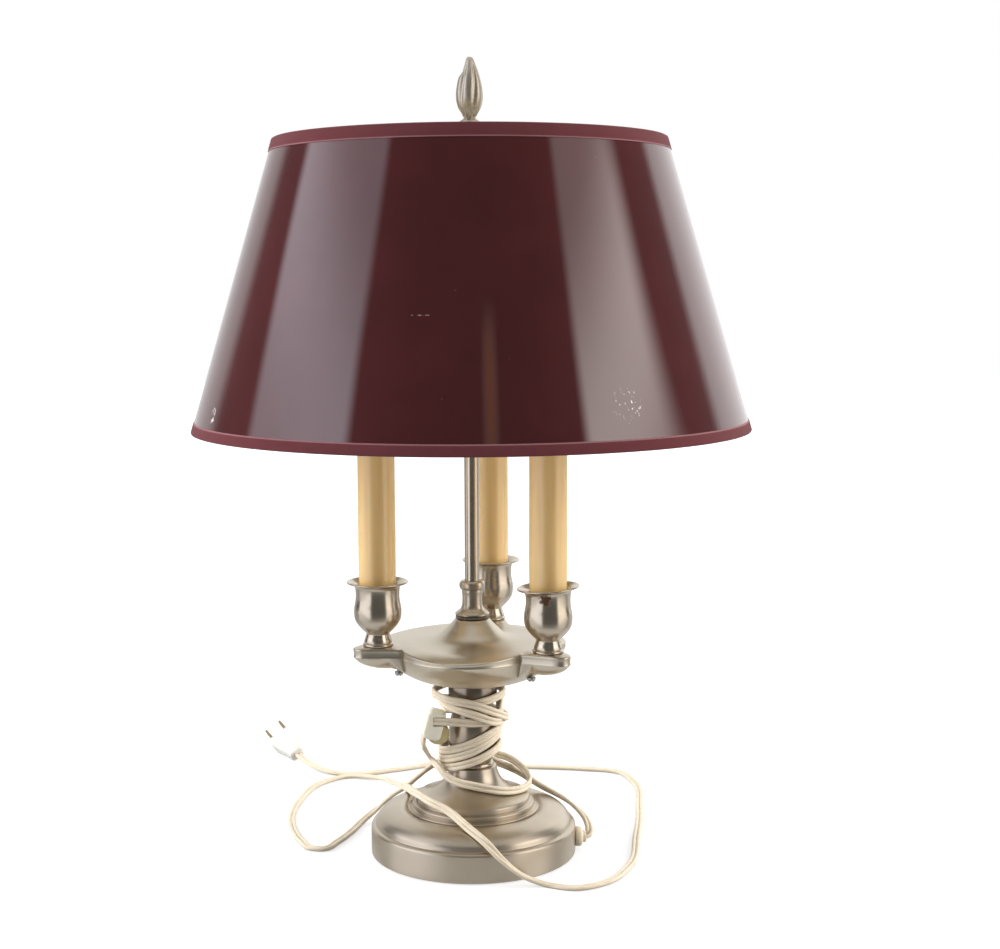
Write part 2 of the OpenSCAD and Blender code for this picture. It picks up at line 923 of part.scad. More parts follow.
module plug_body() {
    front = plug_front / 2;
    rear = plug_rear / 2;
    color("white")
        at_plug()
            difference() {
                intersection() {
                    translate([0, 0, -front[0]])
                        linear_extrude(2 * front[0])
                            polygon([
                                [0, rear[1]], [8, rear[1] + 1.5], [plug_l - 9, front[1]],
                                [plug_l, front[1]], [plug_l, -front[1]], [plug_l - 9, -front[1]],
                                [8, -rear[1] - 1.5], [0, -rear[1]]
                            ]);
                    translate([0, front[1], 0])
                        rotate([90, 0, 0])
                            linear_extrude(2 * front[1])
                                polygon([
                                    [0, rear[0]], [plug_l - 9, front[0]], [plug_l, front[0]],
                                    [plug_l, -front[0]], [plug_l - 9, -front[0]], [0, -rear[0]]
                                ]);
                }
                for (s = [-1, 1])
                    translate([plug_l - 8, s * blade_gap / 2 - blade[2] / 2, -blade[1] / 2])
                        cube([9, blade[2], blade[1]]);
            }
}

module plug_blades() {
    color("#8a7f6a")
        at_plug()
            for (s = [-1, 1])
                translate([plug_l - 8, s * blade_gap / 2 - blade[2] / 2, -blade[1] / 2])
                    cube([8 + blade[0], blade[2], blade[1]]);
}

base_shell();
base_weight();
base_felt();
base_washer();
base_nut();
cord_bushing();
stem_foot();
neck_ring();
vase();
tray_collar();
threaded_rod();
tray_pan();
tray_nut();
tray_cover();
cover_screws();
knurled_ring();
column_collar();
column_tube();
top_stud();
shade_seat();
shade_spider();
top_wire_ring();
bottom_wire_ring();
shade_shell();
top_trim();
bottom_trim();
finial();
for (i = candles) {
    candle_cup(i);
    candle_nipple(i);
    socket_bracket(i);
    lamp_socket(i);
    candle_sleeve(i);
    bulb_glass(i);
    bulb_cap(i);
}
nipple_nuts();
switch_front();
switch_back();
switch_wheel();
switch_screw();
cord_lead();
cord_winding();
cord_tail();
inner_cord();
socket_leads();
plug_body();
plug_blades();
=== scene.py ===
"""Looks of a table lamp with three candle lights: metal base, stem and tray, a lacquered
shade, and a flat cord wound round the stem. Metres, Z up, front towards -Y."""
import math
from bisect import bisect_right

import bpy
import bmesh
from mathutils import Matrix, Vector, noise


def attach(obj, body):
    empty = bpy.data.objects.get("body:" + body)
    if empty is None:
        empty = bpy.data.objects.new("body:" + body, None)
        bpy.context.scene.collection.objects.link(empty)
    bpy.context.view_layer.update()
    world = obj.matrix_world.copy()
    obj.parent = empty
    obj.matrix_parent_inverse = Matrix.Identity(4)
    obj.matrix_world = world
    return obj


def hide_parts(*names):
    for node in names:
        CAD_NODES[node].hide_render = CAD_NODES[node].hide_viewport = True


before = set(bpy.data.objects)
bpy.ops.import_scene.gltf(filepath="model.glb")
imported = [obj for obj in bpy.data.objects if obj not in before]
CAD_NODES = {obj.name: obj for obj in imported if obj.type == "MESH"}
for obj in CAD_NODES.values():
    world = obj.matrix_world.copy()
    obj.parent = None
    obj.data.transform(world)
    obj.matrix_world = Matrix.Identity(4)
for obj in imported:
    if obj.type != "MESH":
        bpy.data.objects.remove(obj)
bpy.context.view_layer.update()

MM = 0.001
SAME_POINT = 1e-7

# ---------------------------------------------------------------- camera
IMAGE_WIDTH_PX = 1000
FOCAL_PX = 1675.7
SENSOR_MM = 36.0
CAMERA_PLACE = (0.0, -1.075, 0.3769)
# In radians: how far it looks down, and its turn about its own line of sight
CAMERA_PITCH = 0.1177
CAMERA_ROLL = -0.0055
LAMP_AXIS_PX = 471.5


def add_object(name, data, place=(0, 0, 0)):
    obj = bpy.data.objects.new(name, data)
    obj.location = place
    bpy.context.scene.collection.objects.link(obj)
    return obj


def make_camera():
    data = bpy.data.cameras.new("camera")
    data.sensor_width = SENSOR_MM
    data.lens = FOCAL_PX * SENSOR_MM / IMAGE_WIDTH_PX
    data.shift_x = 0.5 - LAMP_AXIS_PX / IMAGE_WIDTH_PX
    data.clip_start = 0.01
    camera = add_object("camera", data)
    camera.matrix_world = (
        Matrix.Translation(CAMERA_PLACE)
        @ Matrix.Rotation(math.pi / 2 - CAMERA_PITCH, 4, "X")
        @ Matrix.Rotation(CAMERA_ROLL, 4, "Z")
    )
    bpy.context.scene.camera = camera


# ---------------------------------------------------------------- helpers
def smoothstep(low, high, x):
    t = min(max((x - low) / (high - low), 0.0), 1.0)
    return t * t * (3 - 2 * t)


def catmull(points, steps):
    """Smooth line through points of any dimension, with steps between two of them.

    Tangents are weighed by the steps' lengths, so that uneven steps don't overshoot."""
    points = [Vector(p) for p in points]
    last = len(points) - 1
    gaps = [max((b - a).length, 1e-9) for a, b in zip(points, points[1:])]
    slopes = [(b - a) / gap for a, b, gap in zip(points, points[1:], gaps)]
    tangents = [slopes[0]]
    for i in range(1, last):
        share = gaps[i - 1] / (gaps[i - 1] + gaps[i])
        tangents.append(slopes[i - 1] * (1 - share) + slopes[i] * share)
    tangents.append(slopes[-1])
    out = []
    for i in range(last):
        a, b = points[i], points[i + 1]
        m, n = tangents[i] * gaps[i], tangents[i + 1] * gaps[i]
        for k in range(steps):
            t = k / steps
            out.append(a * (2 * t ** 3 - 3 * t * t + 1) + m * (t ** 3 - 2 * t * t + t)
                       + b * (3 * t * t - 2 * t ** 3) + n * (t ** 3 - t * t))
    out.append(points[last])
    return out


def interpolate(pairs, x):
    """Value at x on the straight lines through sorted (x, value) pairs."""
    keys = [p[0] for p in pairs]
    i = min(max(bisect_right(keys, x) - 1, 0), len(pairs) - 2)
    (x1, v1), (x2, v2) = pairs[i], pairs[i + 1]
    t = min(max((x - x1) / (x2 - x1), 0.0), 1.0)
    return v1 + (v2 - v1) * t


def polar(radius, angle):
    return radius * math.cos(angle), radius * math.sin(angle)


def grid_faces(rows, columns, rows_close=False, columns_close=True):
    """Quads between neighbours in a grid of points that was listed row by row."""
    faces = []
    for i in range(rows if rows_close else rows - 1):
        low, high = i * columns, (i + 1) % rows * columns
        for j in range(columns if columns_close else columns - 1):
            k = (j + 1) % columns
            faces.append((low + j, high + j, high + k, low + k))
    return faces


def loft(loops):
    """Verts and faces of a closed solid through loops with the same number of points."""
    count = len(loops[0])
    verts = [Vector(p) for loop in loops for p in loop]
    last = len(verts) - count
    ends = [tuple(range(count)), tuple(last + j for j in reversed(range(count)))]
    return verts, grid_faces(len(loops), count) + ends


def new_mesh(name, verts, faces):
    """Mesh with double points merged and its faces turned outward."""
    mesh = bpy.data.meshes.new(name)
    mesh.from_pydata([tuple(v) for v in verts], [], faces)
    work = bmesh.new()
    work.from_mesh(mesh)
    bmesh.ops.remove_doubles(work, verts=work.verts, dist=SAME_POINT)
    bmesh.ops.recalc_face_normals(work, faces=work.faces)
    work.to_mesh(mesh)
    work.free()
    return mesh


def smooth_faces(mesh, sharp_deg):
    """Smooth shading, apart from edges over sharp_deg."""
    mesh.polygons.foreach_set("use_smooth", [True] * len(mesh.polygons))
    mesh.set_sharp_from_angle(angle=math.radians(sharp_deg))


def mesh_piece(name, verts, faces, material, nodes=(), slot="brushed_nickel", body="lamp",
               place=(0, 0, 0), sharp_deg=32):
    """Visible piece with its material and body, in place of the CAD nodes it stands for; slot is
    not used.
    """
    mesh = new_mesh(name, verts, faces)
    smooth_faces(mesh, sharp_deg)
    mesh.materials.append(material)
    obj = add_object(name, mesh, place)
    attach(obj, body)
    if nodes:
        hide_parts(*nodes)
    return obj


def profile(*runs, steps=4):
    """Outline of (radius, height) runs in mm, smooth inside a run, with corners between."""
    line = []
    for run in runs:
        points = catmull(run, steps) if len(run) > 2 else [Vector(p) for p in run]
        if line and (line[-1] - points[0]).length < 1e-6:
            points = points[1:]
        line += points
    return [(max(p[0], 0.0) * MM, p[1] * MM) for p in line]


def lathe(name, line, material, nodes=(), slot="brushed_nickel", segments=96, closed=True,
          change=None, **more):
    """Turns an outline about Z. closed joins its ends; change(r, a, z) may bend the radius."""
    verts = []
    for k in range(segments):
        a = 2 * math.pi * k / segments
        verts += [(*polar(change(r, a, z) if change else r, a), z) for r, z in line]
    faces = grid_faces(segments, len(line), rows_close=True, columns_close=closed)
    obj = mesh_piece(name, verts, faces, material, nodes, slot, **more)
    drop_flat_faces(obj)
    return obj


def drop_flat_faces(obj):
    """Removes faces without area, which appear where an outline meets the axis."""
    work = bmesh.new()
    work.from_mesh(obj.data)
    bmesh.ops.dissolve_degenerate(work, dist=SAME_POINT, edges=work.edges)
    work.to_mesh(obj.data)
    work.free()


def sweep(points, normals, section):
    """Verts and faces of a tube with a closed section, (side, out) pairs, along points."""
    loops = []
    last = len(points) - 1
    for i, p in enumerate(points):
        along = (points[min(i + 1, last)] - points[max(i - 1, 0)]).normalized()
        out = (normals[i] - along * normals[i].dot(along)).normalized()
        side = along.cross(out)
        loops.append([p + side * s + out * o for s, o in section])
    return loft(loops)


# ---------------------------------------------------------------- materials
class Nodes:
    """Short hand for building a node tree."""

    def __init__(self, tree):
        self.tree = tree

    def add(self, kind, operation=None, **inputs):
        """Node with its inputs given by name, or by number as i0, i1 and so on."""
        node = self.tree.nodes.new("ShaderNode" + kind)
        if operation:
            node.operation = operation
        for key, value in inputs.items():
            socket = int(key[1:]) if key[1:].isdigit() else key.replace("_", " ")
            self.set(node.inputs[socket], value)
        return node

    def set(self, socket, value):
        """Links a socket to a node or another socket, or gives it a value."""
        if isinstance(value, bpy.types.Node):
            value = value.outputs[0]
        if isinstance(value, bpy.types.NodeSocket):
            self.tree.links.new(value, socket)
        elif socket.type == "RGBA":
            socket.default_value = (*value[:3], 1)
        else:
            socket.default_value = value

    def math(self, operation, a, b=0.0):
        return self.add("Math", operation, i0=a, i1=b).outputs[0]

    def plus(self, a, b):
        return self.math("ADD", a, b)

    def minus(self, a, b):
        return self.math("SUBTRACT", a, b)

    def times(self, product, *factors):
        for factor in factors:
            product = self.math("MULTIPLY", product, factor)
        return product

    def place(self):
        return self.add("TexCoord").outputs["Object"]

    def distance(self, centre):
        """Distance in metres from a point of the object that is given in mm."""
        return self.add("VectorMath", "DISTANCE", i0=self.place(),
                        i1=tuple(v * MM for v in centre)).outputs["Value"]

    def split(self, vector):
        return tuple(self.add("SeparateXYZ", i0=vector).outputs)

    def join(self, x, y, z):
        return self.add("CombineXYZ", i0=x, i1=y, i2=z).outputs[0]

    def noise(self, vector, scale, detail=3.0, roughness=0.55):
        return self.add("TexNoise", Vector=vector, Scale=scale, Detail=detail,
                        Roughness=roughness).outputs["Fac"]

    def stretched(self, scales, detail=3.0, roughness=0.55):
        """Noise with a scale of its own along each axis of the object."""
        vector = self.add("VectorMath", "MULTIPLY", i0=self.place(), i1=scales)
        return self.noise(vector, 1.0, detail, roughness)

    def spread(self, factor, low, high, from_low=0.0, from_high=1.0):
        """Smooth step from low, up to from_low, to high, past from_high."""
        node = self.add("MapRange", i0=factor, i1=from_low, i2=from_high, i3=low, i4=high)
        node.interpolation_type = "SMOOTHSTEP"
        return node.outputs[0]

    def rise(self, factor, from_low, from_high):
        return self.spread(factor, 0.0, 1.0, from_low, from_high)

    def fall(self, factor, from_low, from_high):
        return self.spread(factor, 1.0, 0.0, from_low, from_high)

    def mix(self, factor, a, b):
        node = self.add("Mix")
        node.data_type = "RGBA"
        for i, value in ((0, factor), (6, a), (7, b)):
            self.set(node.inputs[i], value)
        return node.outputs[2]

    def bump(self, height, distance, strength, **normal):
        return self.add("Bump", Height=height, Distance=distance, Strength=strength,
                        **normal).outputs[0]


class Paint(Nodes):
    """A new material's node tree."""

    def __init__(self, name):
        self.material = bpy.data.materials.new(name)
        self.material.use_nodes = True
        super().__init__(self.material.node_tree)
        self.shader = self.tree.nodes["Principled BSDF"]

    def paint(self, **inputs):
        """Sets the shader's own sockets, underscores standing for blanks."""
        for key, value in inputs.items():
            self.set(self.shader.inputs[key.replace("_", " ")], value)
        return self.material


def darker(colour, share):
    return tuple(c * share for c in colour)


# Noise of a turned surface: slow round the axis, fine along the radius and the height
RING_TURNS = 0.9
RING_SCALE = 900.0
STREAK = 0.07


def ring_noise(n):
    x, y, z = n.split(n.place())
    radius = n.math("SQRT", n.plus(n.times(x, x), n.times(y, y)))
    around = n.times(n.math("ARCTAN2", y, x), RING_TURNS)
    return n.noise(n.join(around, n.times(radius, RING_SCALE), n.times(z, RING_SCALE)), 1.0, 2.0)


def radial_tangent(n):
    node = n.add("Tangent")
    node.direction_type = "RADIAL"
    node.axis = "Z"
    return node


def nickel_paint(name, base=(0.62, 0.54, 0.43), rough=0.3, turned=True, ring_bump=0.000004):
    """Satin nickel: clouded tone and fine streaks, in rings if it was turned on a lathe."""
    n = Paint(name)
    cloud = n.noise(n.place(), 38.0, 4.0)
    if turned:
        fine = ring_noise(n)
        n.paint(Tangent=radial_tangent(n), Anisotropic=0.5, Anisotropic_Rotation=0.25)
    else:
        fine = n.noise(n.place(), 700.0)
    n.paint(Base_Color=n.mix(n.spread(cloud, 0.0, 0.55, 0.35, 0.75), base, darker(base, 0.86)),
            Metallic=1.0, Roughness=n.plus(n.times(fine, STREAK), rough - STREAK / 2),
            Normal=n.bump(fine, ring_bump, 0.7))
    return n


def nickel(name, *base, **settings):
    return nickel_paint(name, *base, **settings).material


# Brown stain below the lip of the right cup
STAIN_PLACE = (-2.2, -13.9, 178.2)
STAIN_COLOUR = (0.10, 0.048, 0.022)
STAIN_SPREAD = 170.0
STAIN_EDGE = (1.35, 1.6)


def stained_nickel(name):
    n = nickel_paint(name, rough=0.24)
    ragged = n.times(n.noise(n.place(), 420.0, 4.0, 0.7), 1.8)
    mask = n.fall(n.plus(n.times(n.distance(STAIN_PLACE), STAIN_SPREAD), ragged), *STAIN_EDGE)
    clean = n.shader.inputs["Base Color"].links[0].from_socket
    return n.paint(Base_Color=n.mix(mask, clean, STAIN_COLOUR),
                   Metallic=n.minus(1.0, n.times(mask, 0.85)))


def plain_metal(name, base, rough):
    """Plated or plain metal with a faint uneven tone."""
    n = Paint(name)
    grit = n.noise(n.place(), 420.0, 4.0)
    dull = n.noise(n.place(), 90.0)
    return n.paint(Base_Color=n.mix(dull, base, darker(base, 0.72)), Metallic=1.0,
                   Roughness=n.spread(dull, rough - 0.06, rough + 0.1),
                   Normal=n.bump(grit, 0.00002, 0.3))


def moulded(name, base, shade, rough, subsurface=0.0, coat=0.0):
    """Moulded plastic or vinyl: clouded tone and a fine skin."""
    n = Paint(name)
    cloud = n.noise(n.place(), 60.0, 4.0)
    skin = n.noise(n.place(), 1500.0, 2.0)
    return n.paint(Base_Color=n.mix(n.rise(cloud, 0.3, 0.7), base, shade),
                   Roughness=n.spread(skin, rough - 0.05, rough + 0.08),
                   Subsurface_Weight=subsurface, Subsurface_Radius=(0.002, 0.0015, 0.001),
                   Subsurface_Scale=1.0, Coat_Weight=coat, Coat_Roughness=0.08,
                   Normal=n.bump(skin, 0.00001, 0.5))


# Wear of the shade in mm: chips at its foot with their reach, and a scratch on its front
CHIPPED_RIGHT = (87, -146.5, 305.5)
CHIPPED_RIGHT_REACH = 12
CHIPPED_LEFT = ((-154.4, -81.2, 292.5), (-153.9, -80.4, 297.5))
CHIPPED_LEFT_REACH = 3.6
SCRATCH_Z = 355.9
SCRATCH_HALF = 0.35
SCRATCH_X = (-33, -21)


def spot(n, centre, radius):
    """1 at a point given in mm, falling to 0 at a radius in mm."""
    return n.fall(n.distance(centre), radius * MM * 0.55, radius * MM)


def scratch_mask(n):
    """Short broken scratch on the front of the shade."""
    x, y, z = n.split(n.place())
    low, high = SCRATCH_X
    away = n.math("ABSOLUTE", n.minus(z, SCRATCH_Z * MM))
    return n.times(n.fall(away, SCRATCH_HALF * MM * 0.4, SCRATCH_HALF * MM),
                   n.rise(x, low * MM, (low + 1) * MM), n.fall(x, (high - 1) * MM, high * MM),
                   n.fall(y, -0.11, -0.10), n.rise(n.noise(n.place(), 420.0, 1.0), 0.42, 0.5))


def lacquer():
    """Deep maroon gloss lacquer on card: faint waves, scuffs, dust and a few chips."""
    n = Paint("lacquer")
    wave = n.noise(n.place(), 26.0, 2.0)
    tooth = n.noise(n.place(), 900.0, 2.0)
    scuff = n.rise(n.stretched((260, 260, 22), 5.0), 0.74, 0.8)
    speck = n.rise(n.noise(n.place(), 420.0, 2.0), 0.76, 0.79)
    flaked = n.rise(n.stretched((800, 800, 420), 3.0, 0.6), 0.62, 0.66)
    dashes = n.rise(n.stretched((700, 700, 260), 2.0), 0.53, 0.56)
    bare = n.times(flaked, spot(n, CHIPPED_RIGHT, CHIPPED_RIGHT_REACH))
    for centre in CHIPPED_LEFT:
        bare = n.math("MAXIMUM", bare, n.times(dashes, spot(n, centre, CHIPPED_LEFT_REACH)))
    tone = n.mix(n.rise(wave, 0.3, 0.7), (0.054, 0.0050, 0.0060), (0.064, 0.0065, 0.0078))
    tone = n.mix(n.times(speck, 0.25), tone, (0.35, 0.16, 0.17))
    tone = n.mix(bare, tone, (0.80, 0.74, 0.70))
    tone = n.mix(n.times(scratch_mask(n), 0.6), tone, (0.55, 0.45, 0.42))
    waves = n.bump(wave, 0.0002, 0.35)
    return n.paint(
        Base_Color=tone, Roughness=0.42, Specular_IOR_Level=0.08, Coat_Weight=1.0, Coat_IOR=1.7,
        Coat_Roughness=n.plus(n.times(scuff, 0.25), 0.04),
        Normal=n.bump(n.minus(tooth, n.times(bare, 6.0)), 0.000004, 0.25, Normal=waves))


def lining():
    """Off-white paper inside of the shade, with fibres and a warm tint."""
    n = Paint("lining")
    return n.paint(Base_Color=n.mix(n.noise(n.place(), 30.0), (0.74, 0.68, 0.56),
                                    (0.66, 0.59, 0.46)),
                   Roughness=0.75, Normal=n.bump(n.stretched((500, 500, 160), 4.0), 0.00005, 0.5))


RIBS_PER_RADIAN = 620.0
ROWS_PER_METRE = 1500.0
SELVAGE_INSET = 0.35


def tape():
    """Woven tape: ribs along the rim and across it, with paler worn selvages."""
    n = Paint("tape")
    x, y, z = n.split(n.place())
    rib = n.math("SINE", n.times(n.math("ARCTAN2", y, x), RIBS_PER_RADIAN))
    row = n.math("SINE", n.times(z, ROWS_PER_METRE * 2 * math.pi))
    weave = n.times(rib, row)
    tone = n.mix(n.rise(weave, -1, 1), (0.078, 0.010, 0.013), (0.148, 0.025, 0.031))
    tone = n.mix(n.times(n.noise(n.place(), 70.0), 0.2), tone, (0.20, 0.06, 0.065))
    for height in (TOP_TRIM_LOW + SELVAGE_INSET, BOTTOM_TRIM_TOP - SELVAGE_INSET):
        away = n.math("ABSOLUTE", n.minus(z, height * MM))
        selvage = n.spread(away, 0.65, 0.0, 0.25 * MM, 0.6 * MM)
        tone = n.mix(selvage, tone, (0.36, 0.17, 0.18))
    height = n.plus(weave, n.times(n.noise(n.place(), 1400.0), 0.8))
    return n.paint(Base_Color=tone, Roughness=0.82, Sheen_Weight=0.1, Sheen_Roughness=0.4,
                   Normal=n.bump(height, 0.00012, 0.7))


def candle():
    """Honey-coloured moulded candle sleeve, glossy and slightly translucent."""
    n = Paint("candle")
    streak = n.stretched((160, 160, 9))
    tone = n.mix(n.rise(streak, 0.3, 0.75), (0.82, 0.57, 0.25), (0.74, 0.48, 0.19))
    tone = n.mix(n.times(n.noise(n.place(), 24.0), 0.35), tone, (0.88, 0.66, 0.34))
    return n.paint(Base_Color=tone, Roughness=0.24, Subsurface_Weight=0.5,
                   Subsurface_Radius=(0.006, 0.0035, 0.0014), Subsurface_Scale=0.6,
                   Coat_Weight=0.5, Coat_Roughness=0.08, Normal=n.bump(streak, 0.00008, 0.35))


def cord_vinyl():
    """Ivory vinyl of the flat cord: a little dirt along its length, and painted shade in the
    groove.
    """
    n = Paint("cord_vinyl")
    dirt = n.noise(n.place(), 120.0, 5.0)
    skin = n.noise(n.place(), 1300.0, 2.0)
    # Ambient occlusion darkens the vinyl in the groove and where turns lie close: painted shade.
    groove = n.add("AmbientOcclusion", Distance=0.002, Color=(1, 1, 1)).outputs["AO"]
    tone = n.mix(n.spread(dirt, 0, 0.6, 0.45, 0.75), (0.80, 0.70, 0.54), (0.66, 0.56, 0.40))
    tone = n.mix(n.times(n.fall(groove, 0.35, 0.85), 0.55), tone, (0.38, 0.27, 0.14))
    return n.paint(Base_Color=tone, Roughness=n.spread(skin, 0.36, 0.5),
                   Subsurface_Weight=0.15, Subsurface_Radius=(0.0015, 0.001, 0.0006),
                   Normal=n.bump(skin, 0.00001, 0.4))


def glass():
    n = Paint("glass")
    haze = n.noise(n.place(), 120.0)
    return n.paint(Base_Color=(0.98, 0.98, 0.97), Transmission_Weight=1.0, IOR=1.45,
                   Roughness=n.spread(haze, 0.0, 0.04, 0.5, 0.9))


def felt():
    n = Paint("felt")
    fibre = n.noise(n.place(), 1600.0, 5.0, 0.7)
    return n.paint(Base_Color=n.mix(fibre, (0.02, 0.045, 0.022), (0.075, 0.11, 0.06)),
                   Roughness=0.95, Sheen_Weight=0.3, Normal=n.bump(fibre, 0.0003, 0.8))


def cast_iron():
    n = Paint("cast_iron")
    grit = n.noise(n.place(), 500.0, 6.0, 0.7)
    return n.paint(Base_Color=n.mix(grit, (0.05, 0.048, 0.045), (0.12, 0.09, 0.07)),
                   Metallic=0.7, Roughness=n.spread(grit, 0.55, 0.85),
                   Normal=n.bump(grit, 0.0004, 0.7))


# ---------------------------------------------------------------- cord
# Flat two-core cord. Routes in millimetres, the same points as the construction's
CORD_WIDTH = 5.4
LOBE = CORD_WIDTH / 4
CORD_STEP = 1.8
EASE_ROUNDS = 6
LEAD_ROUTE = [
    (71, 0, 8), (73.5, 0, 8), (75.6, 0.4, 8.2), (76.8, 2, 9.8), (76.9, 4.5, 12.4), (75.5, 9.5, 16),
    (71, 15.5, 20.5), (62, 23, 26), (46, 29, 33.5), (31, 30, 43), (16, 27, 51), (4, 25.5, 57),
    (-4, 24, 60),
]
TAIL_ROUTE = [
    (-31.8, -14, 81.5), (-32.6, -14, 76.5), (-31, -8, 69.5), (-27.5, -6, 63), (-22, -12, 58.5),
    (-18, -15, 54.5), (-10, -19, 51), (-1, -21.5, 49.5), (8.5, -21.5, 47.5), (18.5, -18.5, 45),
    (28.5, -9, 42.5), (35, 2, 41.5), (38, 12, 42.5), (35, 22, 46.5), (26, 28, 52.5),
    (14, 31.5, 55.5), (-2, 32.5, 55.5), (-14, 30, 54.5), (-23, 28, 51), (-38, 40, 37),
    (-47.1, 51, 26.2), (-56, 56, 19), (-66.7, 60, 8.5), (-76, 53, 2.6), (-84, 29, 1.4),
    (-91, 11, 1.4), (-99, -3, 1.4), (-108, -1, 1.4), (-115, 12, 1.4), (-126, 52, 1.4),
    (-125, 102, 1.4), (-113, 143, 1.4), (-95, 159, 1.4), (-72, 150, 3), (-59, 110, 11.5),
    (-51.5, 80, 19), (-46.8, 44, 28.8), (-43.3, 27, 32.6), (-39.2, -2, 39.3), (-35, -14, 41),
    (-29.5, -26, 41.2), (-16, -38.5, 38), (-3, -54.5, 32), (8, -65.5, 26), (18, -69.5, 16.5),
    (30, -70, 7), (44, -70, 1.4), (64, -77, 1.4), (82, -68, 1.4), (99, -40, 1.4), (110, 18, 1.4),
    (118, 80, 1.4), (120, 140, 1.4), (112, 165, 1.4), (80, 176, 1.4), (40, 182, 1.4),
    (0, 195, 1.4), (-23, 196, 1.4), (-43, 183, 1.4), (-63, 173.5, 1.4), (-85, 165, 1.4),
    (-104, 167, 1.4), (-122, 180, 3), (-137, 199, 6.8),
]
# The winding, counter-clockwise from above: azimuth in degrees, radius and height in mm
# 0 is the right, 90 the back, 180 the left and 270 the front, a full turn adds 360
LOWER_TURNS = [
    (140, 23.0, 58.0), (180, 21.8, 57.0), (225, 18.8, 59.5), (270, 17.5, 64.0), (315, 17.5, 69.0),
    (360, 18.0, 72.0), (405, 18.4, 70.0), (450, 19.0, 66.5), (495, 20.4, 63.5),
    (540, 21.8, 62.3), (585, 18.8, 65.5), (630, 17.5, 70.8), (675, 17.5, 77.0),
    (720, 18.0, 80.2), (765, 18.4, 78.5), (810, 19.0, 74.0), (855, 20.4, 70.0),
    (900, 21.8, 67.7), (945, 18.8, 71.2), (990, 17.5, 76.5), (1035, 17.6, 82.2),
    (1080, 18.4, 84.5), (1125, 18.6, 86.5), (1170, 18.6, 90.0), (1215, 18.5, 93.0),
]
UPPER_TURNS = [
    (1260, 18.5, 95.0), (1305, 18.0, 98.2), (1350, 17.6, 102.0), (1395, 18.2, 104.8),
    (1440, 20.5, 106.2), (1485, 21.5, 107.0), (1530, 22.0, 108.0), (1575, 23.8, 108.0),
    (1620, 25.8, 106.6), (1665, 23.2, 105.2), (1710, 20.6, 102.8), (1755, 20.8, 96.0),
    (1800, 22.7, 89.6), (1845, 22.2, 90.6), (1890, 21.8, 94.0), (1935, 21.5, 98.0),
    (1980, 21.3, 101.4), (2009, 20.7, 100.4), (2070, 20.6, 96.3), (2114, 20.7, 90.0),
    (2150, 20.2, 89.0),
]
# The hairpin at the right, and back across the front to the switch
RETURN_TO_SWITCH = [
    (2178, 20.0, 90.8), (2190, 19.8, 95.6), (2184, 19.4, 100.0), (2166, 19.0, 101.4),
    (2152, 18.6, 97.6), (2138, 18.2, 93.0), (2108, 17.9, 90.4), (2070, 17.9, 89.9),
    (2042, 21.0, 90.6), (2027, 26.2, 91.4), (2017, 31.8, 91.8),
]
# Where the cords leave the lamp, in metres
BUSHING_EXIT = (0.0746, 0, 0.008)
SWITCH_EXIT = (-0.0318, -0.014, 0.0815)


def cord_section():
    """Closed outline of two round lobes joined by a web, as (side, out) in metres."""
    right = [(LOBE + LOBE * math.cos(math.radians(a)), LOBE * math.sin(math.radians(a)))
             for a in (0, 26, 52, 78, 104, 130, 157)]
    upper = right + [(-s, o) for s, o in reversed(right)]
    lower = [(s, -o) for s, o in reversed(upper[1:-1])]
    return [(s * MM, o * MM) for s, o in upper + lower]


def from_polar(keys):
    """Points in mm from (azimuth in degrees, radius, height)."""
    return [(*polar(radius, math.radians(azimuth)), height) for azimuth, radius, height in keys]


def flat_normal(p):
    """Direction that the cord's flat side faces at a point of its route, in mm.

    It faces up on the table, away from the stem higher up, and the front at the switch."""
    outward = Vector((p.x, p.y, 0)).normalized()
    climb = smoothstep(4, 44, p.z)
    normal = outward * climb + Vector((0, 0, 1)) * (1 - climb) * 1.2
    at_switch = smoothstep(-8, -20, p.x) * smoothstep(-15.5, -17.5, p.y) * smoothstep(84, 88, p.z)
    return (normal * (1 - at_switch) + Vector((0, -1, 0)) * at_switch).normalized()


def even_steps(points, step):
    """Points along a line at even distances, about step apart."""
    reach = [0.0]
    for a, b in zip(points, points[1:]):
        reach.append(reach[-1] + (b - a).length)
    count = round(reach[-1] / step)
    out, i = [], 0
    for k in range(count + 1):
        along = reach[-1] * k / count
        while i < len(points) - 2 and reach[i + 1] < along:
            i += 1
        out.append(points[i].lerp(points[i + 1], (along - reach[i]) / (reach[i + 1] - reach[i])))
    return out


def make_flat_cord(name, route, material, nodes, **facts):
    """Cord along a route in mm."""
    line = even_steps(catmull(route, 8), CORD_STEP)
    normals = [flat_normal(p) for p in line]
    for _ in range(EASE_ROUNDS):
        normals = [(normals[max(i - 1, 0)] + normals[i] + normals[min(i + 1, len(line) - 1)])
                   .normalized() for i in range(len(line))]
    path = [p * MM for p in line]
    verts, faces = sweep(path, normals, cord_section())
    obj = mesh_piece(name, verts, faces, material, nodes, "cord_vinyl", sharp_deg=60)


# ---------------------------------------------------------------- base and stem
BASE_R = 67.4
SKIRT_LOW = 0.35


